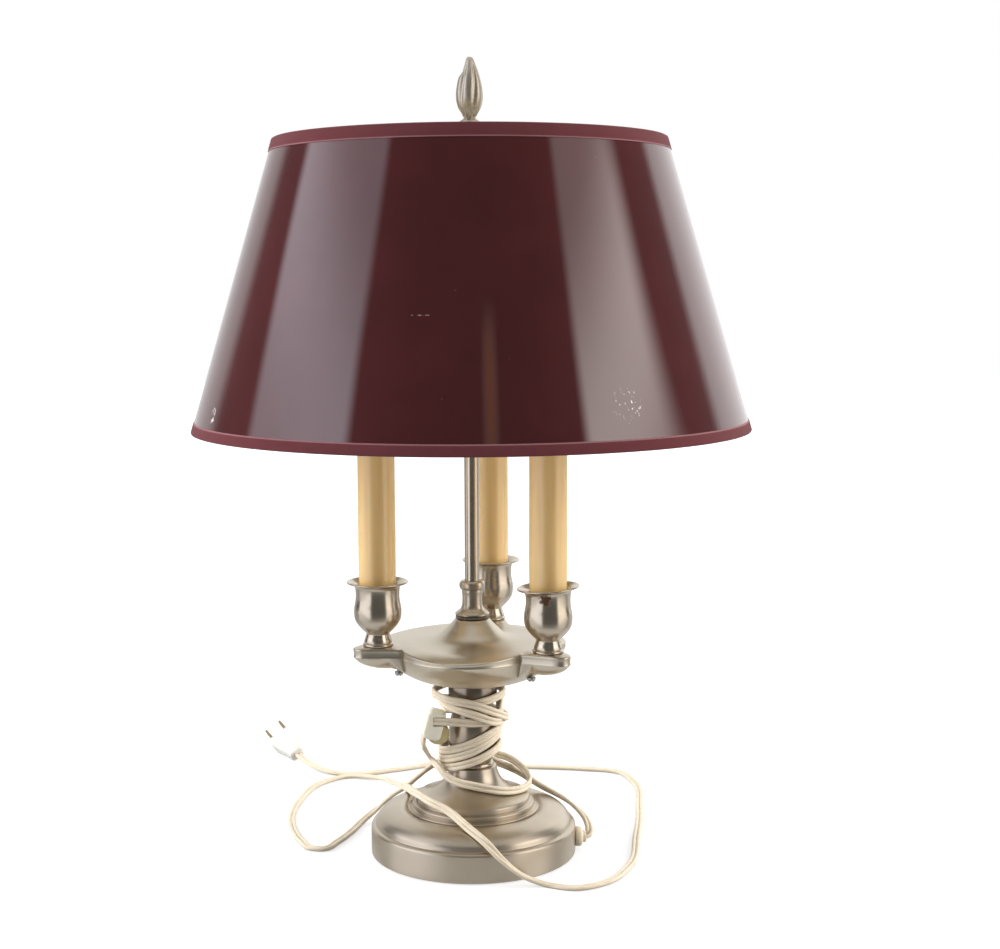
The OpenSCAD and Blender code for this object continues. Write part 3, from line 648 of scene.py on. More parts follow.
def make_base(metal, felt_cloth):
    outer = profile(
        [(66.9, SKIRT_LOW), (67.25, 0.6), (BASE_R, 1.2)],
        [(BASE_R, 1.2), (BASE_R, 9), (BASE_R, 16.4)],
        [(BASE_R, 16.4), (67.25, 17.8), (66.5, 18.9), (65.3, 19.35)],
        [(65.3, 19.35), (64.5, 19.6), (64.2, 20.4)],
        [(64.2, 20.4), (63.7, 22.2), (62.4, 24.2), (60.4, 26.3), (57, 28.2), (52, 29.6),
         (47.5, 30.15), (45.2, 29.8), (43.6, 29.1)],
        [(43.6, 29.1), (42, 28.9), (6, 28.9)])
    inner = profile([(6, 27.6), (43, 27.6), (51, 28.2), (56.2, 27), (59.4, 25.2), (61.2, 23.4),
                     (62.9, 19.4), (65.4, 17.6), (66.1, 15.4), (66.1, 8), (66.1, SKIRT_LOW)])
    lathe("base_shell_skin", outer + inner, metal, ["base_shell"], segments=160)
    lathe("felt_pad", profile([(0, 1.4), (64.2, 1.4), (64.8, 0.9), (64.7, 0.2), (64.2, 0.02),
                               (0, 0.02)], steps=1),
          felt_cloth, ["base_felt"], "felt", segments=128, closed=False)


def make_stem(metal, bright, dull, shaded):
    foot = profile(
        [(7, 28.95), (42.6, 28.95), (43.0, 29.25), (43.0, 29.9), (42.5, 30.4)],
        [(42.5, 30.4), (40.6, 30.55), (40.0, 30.75)],
        [(40.0, 30.75), (40.05, 32), (39.9, 33.3), (39.2, 33.9)],
        [(39.2, 33.9), (37.6, 34.1), (37.0, 34.4)],
        [(37.0, 34.4), (37.05, 36.0), (36.9, 37.3), (36.2, 38.0)],
        [(36.2, 38.0), (33.5, 38.9), (30.0, 39.9), (27.2, 41.1), (25.0, 42.5), (23.0, 43.9),
         (19.8, 46.7), (18.1, 49.1), (16.7, 52.1), (15.8, 55.0), (15.4, 56.6)],
        [(15.4, 56.6), (15.2, 57.3), (14.6, 57.45), (7, 57.45)])
    lathe("foot_skin", foot, metal, ["stem_foot"], segments=128)
    neck = profile([(7, 57.5), (12.2, 57.5), (13.1, 57.8), (13.55, 58.6), (13.5, 59.4),
                    (13.0, 60.2), (12.2, 60.48), (7, 60.48)])
    lathe("neck_ring_skin", neck, bright, ["neck_ring"])
    body = profile([(7, 60.52), (11.8, 60.52), (12.2, 61.0)],
                   [(12.2, 61.0), (13.3, 64), (14.5, 67), (15.2, 70), (15.7, 74), (15.8, 77.5),
                    (15.7, 82), (15.2, 86), (14.4, 90), (12.7, 95), (11.9, 98), (11.7, 99.6)],
                   [(11.7, 99.6), (11.5, 99.98), (7, 99.98)])
    # The vase's nickel is darker: painted shade from the tray above and the cords wound round it.
    lathe("vase_skin", body, dull, ["vase"], segments=128)
    collar = profile([(7, 100.02), (14.2, 100.02), (14.9, 100.3), (15.2, 101)],
                     [(15.2, 101), (15.7, 103), (15.95, 106), (15.9, 109.4), (15.5, 112.6),
                      (15.6, 113.6), (16.4, 114.9)],
                     [(16.4, 114.9), (7, 114.96)])
    # The collar's nickel is darker still: painted shade under the tray's bowl.
    lathe("collar_skin", collar, shaded, ["tray_collar"], segments=128)


# ---------------------------------------------------------------- tray
CANDLE_AZIMUTHS = (78.3, 198.3, 318.3)
SIXTH_TURN = math.radians(60)
CUP_OFF = 63.7
LOBE_R = 42.0
LOBE_OFF = 20.5
ARM_SIDE = [(44, 16.0), (50, 15.5), (57, 13.0), (63.7, 10.6), (70, 8.4), (74, 7.0), (76.8, 5.7)]
ARM_TIP = [(78.6, 4.2), (79.6, 2.4), (80.0, 0.9), (80.0, 0.0)]
RIM_LOW = 135.5
RIM_TOP = 141.4
# The rim's section: inset and drop below its top
RIM_EDGE = [(0.45, 0.08), (0.15, 0.3), (0.0, 0.75), (0.0, 1.2), (0.2, 1.75), (0.35, 2.4),
            (0.4, 3.6), (0.38, 4.7), (0.3, 5.2), (0.12, 5.5), (0.15, 5.9)]
# How far the top rolls down to the edge in the middle of a lobe, and from how far in
LOBE_DROOP = 2.9
SHOULDER = 15.0
DROOP_HALF_ANGLE = math.radians(52)
MOUND_TOP = 142.2
MOUND_EDGE = (10.2, 15.5)
INNER_CIRCLE = 43.0
EDGE_INSET = 0.9
EDGE_DIP = 0.2
UNDER_INSET = 0.5
BOWL_INNER_R = 16.2
FLAT_STEPS = 24
LOBE_STEPS = 22
UNDER_STEPS = 22
BOWL_UNDER = [(16.4, 115.0), (24.8, 115.2), (30, 115.75), (35, 117.1), (40, 118.9), (45, 121.5),
              (50, 124.6), (54, 127.8), (58, 131.4), (62, 135.5), (64, 137.5)]
KEEL_AXIS_Z = 138.5
KEEL_START = 40
KEEL = [(36, 12.5), (52, 12.2), (63.7, 11.2), (70, 9.6), (75, 7.5), (79.3, 4.5), (80, 3.6)]
CONE = [(10.2, 155.6), (11.1, 155.5), (11.8, 154.7), (13, 153.2), (15, 151.1), (17, 149.1),
        (20.4, 145.9), (24.3, 143.7), (30, 142.3), (36, 141.75), (40, 141.55)]


def lobe_reach(turn):
    """Distance of a lobe's edge at an angle from the arm between two lobes."""
    turn = SIXTH_TURN - turn
    across = LOBE_OFF * math.sin(turn)
    return LOBE_OFF * math.cos(turn) + math.sqrt(LOBE_R ** 2 - across ** 2)


def star_outline():
    """The tray's edge as (azimuth, reach in mm), counter-clockwise."""
    side = [tuple(p) for p in catmull(ARM_SIDE, 4)] + ARM_TIP
    arm = [(math.atan2(w, x), math.hypot(x, w)) for x, w in side]
    arm = [(a, r) for a, r in arm if r > lobe_reach(a) + 0.05]
    first = arm[0][0]
    lobe = [first + (SIXTH_TURN - first) * k / LOBE_STEPS for k in range(LOBE_STEPS + 1)]
    half = [(a, r) for a, r in reversed(arm)] + [(a, lobe_reach(a)) for a in lobe]
    out = []
    for centre in CANDLE_AZIMUTHS:
        middle = math.radians(centre)
        out += [(middle - a, r) for a, r in reversed(half[1:-1])]
        out += [(middle + a, r) for a, r in half]
    return out


def mound(p, reach, along):
    """Rise of the tray's top under a cup, at a point p in mm."""
    rise = 0.0
    for azimuth in CANDLE_AZIMUTHS:
        away = math.dist(p, polar(CUP_OFF, math.radians(azimuth)))
        rise = max(rise, (MOUND_TOP - RIM_TOP) * (1 - smoothstep(*MOUND_EDGE, away)))
    return rise * smoothstep(0.0, 3.6, reach - along)


def edge_droop(a):
    """Drop of the tray's edge at an azimuth: none at the arms, most between them."""
    from_arm = (a - math.radians(CANDLE_AZIMUTHS[0])) % (2 * SIXTH_TURN)
    turn = abs(from_arm - SIXTH_TURN)
    return LOBE_DROOP * smoothstep(DROOP_HALF_ANGLE, 0.0, turn)


def underside(a, r):
    """Height of the pan's underside: the bowl, or the boat-shaped keel of an arm if lower."""
    low = interpolate(BOWL_UNDER, r)
    for azimuth in CANDLE_AZIMUTHS:
        x, w = polar(r, a - math.radians(azimuth))
        radius = interpolate(KEEL, x)
        if x > KEEL_START and abs(w) < radius:
            low = min(low, KEEL_AXIS_Z - math.sqrt(radius ** 2 - w ** 2))
    return min(low, RIM_LOW)


def top_point(a, reach, share):
    """Point of the flat top, at a share of the way from the cone to the edge."""
    r = INNER_CIRCLE + (reach - EDGE_INSET - INNER_CIRCLE) * share
    p = polar(r, a)
    dip = EDGE_DIP * (1 - smoothstep(INNER_CIRCLE, reach, r))
    roll = max(1 - (reach - r) / SHOULDER, 0.0) ** 2
    return (*p, RIM_TOP + dip - edge_droop(a) * roll + mound(p, reach, r))


def rim_point(a, reach, inset, drop):
    """Point of the rolled edge, the shallow hollow below it and the upright side."""
    left = 1 - edge_droop(a) / (RIM_TOP - RIM_LOW)
    return (*polar(reach - inset, a), RIM_LOW + (RIM_TOP - drop - RIM_LOW) * left)


def under_point(a, reach, share):
    """Point of the underside, at a share of the way from the side to the collar."""
    r = reach - UNDER_INSET - (reach - UNDER_INSET - BOWL_INNER_R) * share
    return (*polar(r, a), underside(a, r))


def make_tray(metal):
    """Cover, rim and the bowl with its three keels, in one skin."""
    outline = star_outline()
    loops = [[(*polar(r, a), z) for a, _ in outline] for r, z in catmull(CONE, 3)]
    for k in range(1, FLAT_STEPS + 1):
        loops.append([top_point(a, reach, k / FLAT_STEPS) for a, reach in outline])
    for inset, drop in RIM_EDGE:
        loops.append([rim_point(a, reach, inset, drop) for a, reach in outline])
    for k in range(1, UNDER_STEPS + 1):
        loops.append([under_point(a, reach, k / UNDER_STEPS) for a, reach in outline])
    verts, faces = loft([[Vector(p) * MM for p in loop] for loop in loops])
    mesh_piece("tray_skin", verts, faces, metal, ["tray_pan", "tray_cover"], sharp_deg=38)


SCREW_OFF = 50
SLOT_HALF = 0.45
SLOT_FLOOR_Z = 121.9


def make_tray_screws(steel):
    """Round slotted heads below the arms."""
    line = profile([(0, 120.9), (0.7, 120.95), (1.9, 121.4), (2.6, 122.3), (2.75, 123.4)],
                   [(2.75, 123.4), (2.7, 123.9), (1.6, 124.0), (1.55, 136.0), (0, 136.0)])
    for i, azimuth in enumerate(CANDLE_AZIMUTHS):
        obj = lathe(f"tray_screw_{i + 1}", line, steel, ["cover_screws"] if i == 0 else [],
                    "plain_steel", place=(*polar(SCREW_OFF * MM, math.radians(azimuth)), 0),
                    segments=40, closed=False)
        for v in obj.data.vertices:
            if abs(v.co.x) < SLOT_HALF * MM and v.co.z < (SLOT_FLOOR_Z + 0.3) * MM:
                v.co.z = max(v.co.z, SLOT_FLOOR_Z * MM)


# ---------------------------------------------------------------- column
BEADS = 56
KNURL_Z = (155.75, 157.85)
KNURL_DEPTH = 0.55


def make_column(metal, bright, dark):
    def knurl(r, a, z):
        low, high = KNURL_Z
        bead = (abs(math.cos(BEADS * a / 2)) ** 0.6 * smoothstep(low, low + 0.45, z / MM)
                * smoothstep(high, high - 0.45, z / MM))
        return r - KNURL_DEPTH * MM * (1 - bead) * smoothstep(9, 10, r / MM)
    line = profile([(5.5, 155.62), (10.3, 155.62), (10.7, 156.0), (10.95, 156.8), (10.7, 157.6),
                    (10.3, 157.98), (5.5, 157.98)], steps=3)
    lathe("knurled_ring_skin", line, dark, ["knurled_ring"], "dark_ring", segments=336,
          change=knurl)
    collar = profile(
        [(5.5, 158.02), (10.7, 158.02), (11.1, 158.4), (11.1, 159.2), (10.6, 159.7)],
        [(10.6, 159.7), (9.7, 160.5), (8.5, 161.3), (7.5, 162.4), (6.8, 164.2), (6.5, 168),
         (6.6, 171.8), (6.9, 173.2)],
        [(6.9, 173.2), (6.75, 174.3), (6.8, 174.9)],
        [(6.8, 174.9), (7.7, 175.2), (8.3, 176.6), (8.35, 178), (7.8, 179.8), (6.9, 180.5),
         (4.9, 180.6)])
    lathe("column_collar_skin", collar, metal, ["column_collar"])
    tube = profile([(4.0, 166.2), (4.75, 166.2), (4.75, 300), (4.75, 453.6), (4.5, 454.0),
                    (3.3, 454.0), (4.0, 300)], steps=1)
    lathe("column_tube_skin", tube, bright, ["column_tube"], segments=64)
    seat = profile([(3.3, 454.05), (7.4, 454.05), (8.0, 454.6), (8.0, 456.3), (7.4, 456.95),
                    (3.3, 456.95)], steps=2)
    lathe("shade_seat_skin", seat, metal, ["shade_seat"])


# ---------------------------------------------------------------- candles
CUP_FLOOR = 160.0
SLEEVE_TOP = 286.0
RIGHT_CUP_TILT_DEG = 3.7
LIP_BEND = (174, 181)
GLASS_WALL = 0.6
CAP_THREADS = 5
CAP_PITCH = 3.1
FILAMENT_R = 0.16
FILAMENT = ((-2, 0, 295), (-2.6, 0, 304), (-5, 0, 316), (-3.5, 0.8, 318.5), (-1.6, -0.8, 317),
            (0, 0.8, 318.5), (1.6, -0.8, 317), (3.5, 0.8, 318.5), (5, 0, 316), (2.6, 0, 304),
            (2, 0, 295))


def make_candle(i, metal, wax, cap_metal, bulb):
    place = (*polar(CUP_OFF * MM, math.radians(CANDLE_AZIMUTHS[i - 1])), 0)
    outer = profile(
        [(5.2, 142.25), (9.0, 142.25), (9.65, 142.6), (9.8, 143.3), (9.4, 144.0), (8.9, 144.3)],
        [(8.9, 144.3), (8.95, 145.1), (8.6, 146.6), (8.0, 148.2), (7.6, 149.6)],
        [(7.6, 149.6), (7.45, 150.1), (8.2, 151.1)],
        [(8.2, 151.1), (10.6, 153.5), (12.5, 155.7), (13.8, 157.6), (14.7, 159.6), (15.1, 161.8),
         (15.25, 163.9), (15.2, 165.9), (14.9, 168.2), (14.5, 170.1), (14.1, 173), (14.05, 176),
         (14.2, 178.4), (14.6, 180.3), (15.7, 181.6), (17.4, 182.4), (19.0, 182.9)],
        [(19.0, 182.9), (19.55, 183.2), (19.6, 183.7), (19.2, 184.05), (18.5, 184.0)])
    inner = profile([(18.5, 184.0), (16.9, 183.4), (15.3, 182.6), (14.0, 181.4), (13.2, 179.5),
                     (13.0, 175), (13.3, 169.5), (12.6, 163), (12.4, CUP_FLOOR), (5.2, CUP_FLOOR)])
    cup = lathe(f"cup_{i}", outer + inner[1:], metal, [f"candle_cup_{i}"], place=place)
    if i == 3:
        tilt = math.tan(math.radians(RIGHT_CUP_TILT_DEG))
        for v in cup.data.vertices:
            v.co.z += v.co.x * tilt * smoothstep(*LIP_BEND, v.co.z / MM)
    sleeve = profile([(10.6, CUP_FLOOR + 0.1), (11.35, CUP_FLOOR + 0.1)],
                     [(11.35, CUP_FLOOR + 0.1), (11.9, 190), (11.85, 250), (11.9, 284.6)],
                     [(11.9, 284.6), (11.8, 285.5), (11.4, SLEEVE_TOP), (10.9, 285.9)],
                     [(10.75, 285.9), (10.6, 285.2), (10.6, CUP_FLOOR + 0.1)], steps=3)
    lathe(f"sleeve_{i}", sleeve, wax, [f"candle_sleeve_{i}"], "candle_plastic", place=place)
    make_bulb(i, place, bulb, cap_metal)


def make_bulb(i, place, bulb, cap_metal):
    """Clear flame-shaped bulb with a thin wall, a mount with a filament and a screw cap."""
    shape = [(5.3, 285.1), (5.6, 287), (7.4, 290.5), (11.5, 297), (14.7, 304.5), (15.9, 314),
             (15.6, 322), (14.4, 329.5), (11.9, 338), (8.4, 346.5), (4.6, 354), (1.8, 358.6),
             (0, 359.9)]
    outer = profile(shape)
    wall = GLASS_WALL * MM
    inner = [(max(r - wall, 0), z - (wall if r < 6 * MM and z > 340 * MM else 0))
             for r, z in reversed(outer)]
    turning = {"body": f"bulb_{i}", "place": place}
    lathe(f"bulb_glass_skin_{i}", outer + inner, bulb, [f"bulb_glass_{i}"], "bulb_glass",
          segments=64, closed=False, **turning)
    cap = [(0, 262.1), (2.3, 262.1), (2.4, 263.4), (3.6, 263.9), (5.5, 265.4)]
    for k in range(CAP_THREADS):
        z = 266.2 + CAP_PITCH * k
        cap += [(5.55, z), (5.97, z + 0.8), (5.97, z + 1.5), (5.55, z + 2.3)]
    cap += [(5.7, 281.8), (5.95, 284.2), (5.2, 284.9), (0, 284.9)]
    lathe(f"bulb_cap_skin_{i}", profile(cap, steps=2), cap_metal, [f"bulb_cap_{i}"],
          "cap_brass", segments=64, closed=False, **turning)
    mount = profile([(0, 285), (2.6, 285), (2.2, 292), (1.1, 297), (1.0, 303.5), (0, 304)],
                    steps=2)
    lathe(f"bulb_mount_{i}", mount, bulb, slot="bulb_glass", segments=24, closed=False,
          **turning)
    line = catmull([Vector(place) + Vector(p) * MM for p in FILAMENT], 4)
    circle = [polar(FILAMENT_R * MM, math.pi * k / 3) for k in range(6)]
    wire = sweep(line, [Vector((0, 1, 0.2))] * len(line), circle)
    mesh_piece(f"filament_{i}", *wire, cap_metal, slot="cap_brass", body=turning["body"])


# ---------------------------------------------------------------- shade
SHADE_TOP_Z = 462.2
SHADE_LOW_Z = 280.5
SHADE_TOP_R = 124.05
SHADE_SLOPE = 0.296
SHADE_WALL = 1.25
TOP_TRIM_LOW = 454.5
BOTTOM_TRIM_TOP = 286.9
SHADE_SIDES = 256
SHADE_RINGS = 12
TAPE_UNEVEN = 0.12


def shade_r(z):
    return SHADE_TOP_R + (SHADE_TOP_Z - z) * SHADE_SLOPE


def shade_line(*points, steps=1):
    """Outline from (inset from the shade's outer face, height) pairs in mm."""
    return profile([(shade_r(z) - inset, z) for inset, z in points], steps=steps)


def make_shade(lacquer_skin, inside, cloth):
    heights = [SHADE_LOW_Z + (SHADE_TOP_Z - SHADE_LOW_Z) * k / SHADE_RINGS
               for k in range(SHADE_RINGS + 1)]
    outer = [(0.0, z) for z in heights]
    inner = [(SHADE_WALL, z) for z in reversed(heights)]
    shell = lathe("shade_skin", shade_line(*outer, *inner), lacquer_skin,
                  ["shade_shell"], "lacquered_shade", segments=SHADE_SIDES, body="shade")
    shell.data.materials.append(inside)
    for face in shell.data.polygons:
        outward = Vector((face.center.x, face.center.y, 0)).normalized()
        if face.normal.dot(outward) < 0.5:
            face.material_index = 1
    top = shade_line((-0.05, TOP_TRIM_LOW), (-0.4, TOP_TRIM_LOW + 0.1), (-0.5, TOP_TRIM_LOW + 0.7),
                     (-0.5, 458.0), (-0.5, 461.6), (-0.35, 462.35), (0.3, 462.75),
                     (1.0, 462.75), (1.6, 462.3), (1.65, 460.6), (1.3, 460.5), (1.27, 462.1),
                     (0.02, 462.3), (-0.02, 458))
    bottom = shade_line((-0.02, 284.0), (-0.02, 280.45), (1.27, 280.4), (1.3, 284.2),
                        (1.65, 284.1), (1.7, 280.6), (1.3, 280.1), (0.6, 279.95),
                        (-0.1, 280.1), (-0.5, 280.7), (-0.5, 283.5), (-0.5, 286.3),
                        (-0.4, BOTTOM_TRIM_TOP - 0.1), (-0.05, BOTTOM_TRIM_TOP))

    def uneven(r, a, z):
        """A hand-glued tape is never quite even."""
        return r + TAPE_UNEVEN * MM * noise.noise(Vector((math.cos(a), math.sin(a), z * 8)) * 9)
    for name, line, node in (("top_tape", top, "top_trim"), ("bottom_tape", bottom, "bottom_trim")):
        lathe(name, line, cloth, [node], "trim_cloth", segments=SHADE_SIDES, change=uneven,
              body="shade")


# ---------------------------------------------------------------- finial
FINIAL_PETALS = 6
FLAME_FOOT_Z = 476
FLAME_RISE = 38
FLAME = [(3.2, 475.2), (3.7, 476.4), (4.3, 477.6), (5.3, 479.2), (6.6, 481.2), (7.8, 484.0),
         (8.5, 487.2), (8.7, 490.2), (8.5, 493.3), (8.0, 496.8), (7.2, 500.4), (6.3, 503.6),
         (5.2, 506.6), (4.1, 509.3), (3.1, 511.6), (2.3, 513.0), (1.2, 513.65), (0, 513.75)]


def make_finial(metal):
    """Flame finial: a turned foot, a leafy neck and petals that rise into a bent tip."""
    foot = profile([(3.3, 460.3), (6.0, 460.3), (6.3, 460.7), (6.3, 462.2), (5.6, 462.8),
                    (5.0, 463.4)],
                   [(5.0, 463.4), (4.8, 466), (5.1, 469), (5.6, 471)],
                   [(5.6, 471), (6.3, 471.6), (6.35, 473.6), (5.7, 474.5), (4.2, 475.4),
                    (3.7, 476.0), (3.3, 476.1)], steps=3)
    lathe("finial_foot", foot, metal, ["finial"], segments=64, body="finial")

    def petals(r, a, z):
        rise = (z / MM - FLAME_FOOT_Z) / FLAME_RISE
        groove = 0.5 + 0.5 * math.cos(FINIAL_PETALS * (a - 0.35 * rise) + 1.6)
        depth = smoothstep(0.02, 0.35, rise) * (1 - smoothstep(0.78, 1.0, rise))
        leaf = 0.3 * MM * math.cos(9 * a) * smoothstep(0.14, 0.04, rise) * smoothstep(0, 0.03, rise)
        shoulder = 0.30 * max(-math.cos(a), 0) ** 2 * smoothstep(0.64, 0.77, rise)
        hollow = 0.04 * max(math.cos(a - 0.2), 0) * smoothstep(0.5, 0.9, rise)
        return r * (1 - 0.11 * depth * groove ** 3) * (1 - shoulder - hollow) + leaf
    lathe("finial_flame", profile(FLAME, steps=3), metal, segments=160, closed=False,
          change=petals, body="finial", sharp_deg=60)


# ---------------------------------------------------------------- switch
SWITCH_PLACE = (-25, -14, 88.5)
SWITCH_LEAN_DEG = 15
SWITCH_SIZE = (12, 19)
SWITCH_CORNER = 3.5
THUMB_PLACE = (3.8, 0, -5.2)
THUMB_R = 7.5
THUMB_W = 4
THUMB_ROOM = 0.45
CHANNEL_PLACE = (-28, -18.9, 91.5)
CHANNEL_DEPTH = 3.6
CHANNEL_HEIGHT = 6
CHANNEL_REACH = (2.4, 14)
CHANNEL_CORNER = 1.2
CHANNEL_OVER = 1
# Distance from the parting face, and inset of a half's outline there
HALF_SECTIONS = ((0.06, 0.25), (0.3, 0.0), (4.9, 0.0), (5.7, 0.2), (6.2, 0.65), (6.5, 1.5))
RIBS = 40
RIB_DEPTH = 0.3
SWITCH_SCREW_PLACE = (-3, 0, 4.5)


def at(place):
    return Matrix.Translation(Vector(place) * MM)


def turn_about(degrees, axis):
    return Matrix.Rotation(math.radians(degrees), 4, axis)


def rounded_rectangle(w, h, corner, steps=5):
    """Closed outline of a w by h rectangle with round corners, counter-clockwise."""
    out = []
    for cx, cy, start in ((1, 1, 0), (-1, 1, 90), (-1, -1, 180), (1, -1, 270)):
        for k in range(steps + 1):
            a = math.radians(start + 90 * k / steps)
            x, y = polar(corner, a)
            out.append((cx * (w / 2 - corner) + x, cy * (h / 2 - corner) + y))
    return out


CUT_SHARP_DEG = 34


def cut_away(obj, *solids):
    """Takes solids, given as verts and faces, out of a piece."""
    tools = [add_object("cutter", new_mesh("cutter", *solid)) for solid in solids]
    for tool in tools:
        cut = obj.modifiers.new("cut", "BOOLEAN")
        cut.operation = "DIFFERENCE"
        cut.solver = "EXACT"
        cut.object = tool
    depsgraph = bpy.context.evaluated_depsgraph_get()
    mesh = bpy.data.meshes.new_from_object(obj.evaluated_get(depsgraph))
    obj.modifiers.clear()
    obj.data = mesh
    for tool in tools:
        bpy.data.objects.remove(tool)
    smooth_faces(mesh, CUT_SHARP_DEG)


def round_bar(centre, radius, half, matrix, sides=48):
    """Cylinder along local Y as verts and faces, in mm, placed by a matrix in metres."""
    loops = []
    for y in (-half, half):
        corners = [polar(radius, 2 * math.pi * k / sides) for k in range(sides)]
        loops.append([matrix @ ((Vector(centre) + Vector((x, y, z))) * MM) for x, z in corners])
    return loft(loops)


def make_switch(plastic, wheel_plastic, steel):
    matrix = at(SWITCH_PLACE) @ turn_about(SWITCH_LEAN_DEG, "Y")
    width, length = SWITCH_SIZE
    pieces = []
    for node, side in (("switch_front", -1), ("switch_back", 1)):
        loops = []
        for y, inset in HALF_SECTIONS:
            outline = rounded_rectangle(width - 2 * inset, length - 2 * inset,
                                        SWITCH_CORNER - 0.6 * inset)
            loops.append([matrix @ (Vector((x, side * y, z)) * MM) for x, z in outline])
        half = mesh_piece(f"{node}_skin", *loft(loops), plastic, [node], "switch_plastic",
                          sharp_deg=34)
        hollows = [round_bar(THUMB_PLACE, THUMB_R + THUMB_ROOM, THUMB_W / 2 + THUMB_ROOM, matrix)]
        if side < 0:
            cx, cy, cz = CHANNEL_PLACE
            outline = rounded_rectangle(CHANNEL_HEIGHT, CHANNEL_DEPTH + 2 * CHANNEL_OVER,
                                        CHANNEL_CORNER, 3)
            hollows.append(loft([[Vector((cx + dx, cy - CHANNEL_OVER + dy, cz + dz)) * MM
                                  for dz, dy in outline] for dx in CHANNEL_REACH]))
        cut_away(half, *hollows)
        pieces.append(half)
    wheel_line = profile([(0, -4.0), (1.4, -4.0), (1.4, -2.0), (5.6, -2.0), (6.0, -1.75),
                          (6.9, -2.0), (7.3, -1.7), (7.45, -1.3)], [(7.45, -1.3), (7.45, 1.3)],
                         [(7.45, 1.3), (7.3, 1.7), (6.9, 2.0), (6.0, 1.75), (5.6, 2.0),
                          (1.4, 2.0), (1.4, 4.0), (0, 4.0)], steps=1)

    def ribs(r, a, z):
        return r - RIB_DEPTH * MM * (0.5 + 0.5 * math.cos(RIBS * a)) if r > 7.2 * MM else r
    wheel = lathe("thumb_wheel", wheel_line, wheel_plastic, ["switch_wheel"], "wheel_plastic",
                  segments=240, closed=False, change=ribs, body="switch_wheel")
    wheel.data.transform(matrix @ at(THUMB_PLACE) @ turn_about(90, "X"))
    head = profile([(0, -6.45), (2.0, -6.45), (2.5, -6.2), (2.6, -5.6), (2.6, -4.8), (1.6, -4.7),
                    (1.6, 4.6), (0, 4.6)], steps=1)
    screw = lathe("switch_screw_skin", head, steel, ["switch_screw"], "plain_steel",
                  segments=32, closed=False)
    screw.data.transform(matrix @ at(SWITCH_SCREW_PLACE) @ turn_about(90, "X"))
    return [*pieces, wheel, screw]


# ---------------------------------------------------------------- bushing and plug
BUSHING_Z = 8


def make_bushing(vinyl):
    """Moulded bushing in the skirt, with its flange and nub."""
    line = profile([(2.95, -3.4), (4.05, -3.4), (4.05, 0.0), (6.2, 0.05), (6.4, 0.6), (6.35, 2.4),
                    (5.9, 3.9), (5.0, 4.6), (4.0, 4.9), (3.7, 5.4), (3.6, 6.9), (3.3, 7.2),
                    (2.95, 7.1)], steps=2)
    bushing = lathe("bushing_skin", line, vinyl, ["cord_bushing"], "cord_vinyl", segments=64)
    bushing.data.transform(at((BASE_R, 0, BUSHING_Z)) @ turn_about(90, "Y"))


PLUG_PLACE = (-137, 199, 6.8)
PLUG_TURNS_DEG = (121.7, -15, -32)
BLADE_GAP = 12.7
# Half width, half height and corner of the plug along its length from the cord
PLUG_SECTIONS = (
    (0.0, 4.2, 3.2, 1.6), (0.25, 5.0, 4.0, 2.2), (1.0, 5.45, 4.4, 2.4), (4, 6.0, 4.6, 2.4),
    (8, 6.9, 4.8, 2.2), (12, 7.9, 4.95, 2.0), (16, 8.9, 5.15, 1.8), (20, 9.9, 5.35, 1.7),
    (22, 10.3, 5.4, 1.6), (24, 10.4, 5.4, 1.6), (27, 10.4, 5.4, 1.6), (29, 10.35, 5.35, 1.5),
    (29.7, 10.1, 5.1, 1.3), (30.0, 9.5, 4.6, 1.0))
GRIP_DEPTH = 0.55
GRIP_START = (8, 9.5)
GRIP_END = (22, 23.5)
BLADE = ((22, -3.15), (43.6, -3.15), (45.0, -2.4), (45.9, -1.2), (45.9, 1.2), (45.0, 2.4),
         (43.6, 3.15), (22, 3.15))
BLADE_HALF = 0.75
HOLE_X = 41.6
HOLE_R = 1.5


def make_plug(vinyl, brass):
    azimuth, rise, roll = PLUG_TURNS_DEG
    matrix = (at(PLUG_PLACE) @ turn_about(azimuth, "Z") @ turn_about(rise, "Y")
              @ turn_about(roll, "X"))
    loops = []
    for x, half_y, half_z, corner in PLUG_SECTIONS:
        outline = rounded_rectangle(2 * half_y, 2 * half_z, corner, 4)
        dip = GRIP_DEPTH * smoothstep(*GRIP_START, x) * (1 - smoothstep(*GRIP_END, x))
        loop = []
        for y, z in outline:
            inside = smoothstep(half_y * 0.86, half_y * 0.7, abs(y))
            loop.append(matrix @ (Vector((x, y, z - math.copysign(dip * inside, z))) * MM))
        loops.append(loop)
    pieces = [mesh_piece("plug_body_skin", *loft(loops), vinyl, ["plug_body"], "plug_vinyl",
                         sharp_deg=40)]
    for i, side in enumerate((-1, 1)):
        middle = side * BLADE_GAP / 2
        loops = [[matrix @ (Vector((x, middle + y, z)) * MM) for x, z in BLADE]
                 for y in (-BLADE_HALF, BLADE_HALF)]
        blade = mesh_piece(f"plug_blade_{i + 1}", *loft(loops), brass,
                           ["plug_blades"] if i == 0 else [], "cap_brass", sharp_deg=30)
        cut_away(blade, round_bar((HOLE_X, middle, 0), HOLE_R, 2, matrix, 24))
        pieces.append(blade)
    return pieces


# ---------------------------------------------------------------- parts kept from the CAD
def dress_cad_nodes(finishes):
    """Gives each kept CAD node its material, from (material, node names) pairs."""
    for material, names in finishes:
        for name in names:
            slots = CAD_NODES[name].data.materials
            slots.clear()
            slots.append(material)


# ---------------------------------------------------------------- studio
DARK = 0.12
CEILING = 0.8
BACKDROP_LEFT = 0.75
BACKDROP_RIGHT = 1.3
# Heights of the direction between which a panel's level changes, and where its edges bend
METAL_SIGHT = (0.24, 0.38)
SHADE_SIGHT = (0.39, 0.53)
EDGE_FOOT = 0.15
EDGE_BEND = 0.45
CEILING_SIGHT = (0.64, 0.82)
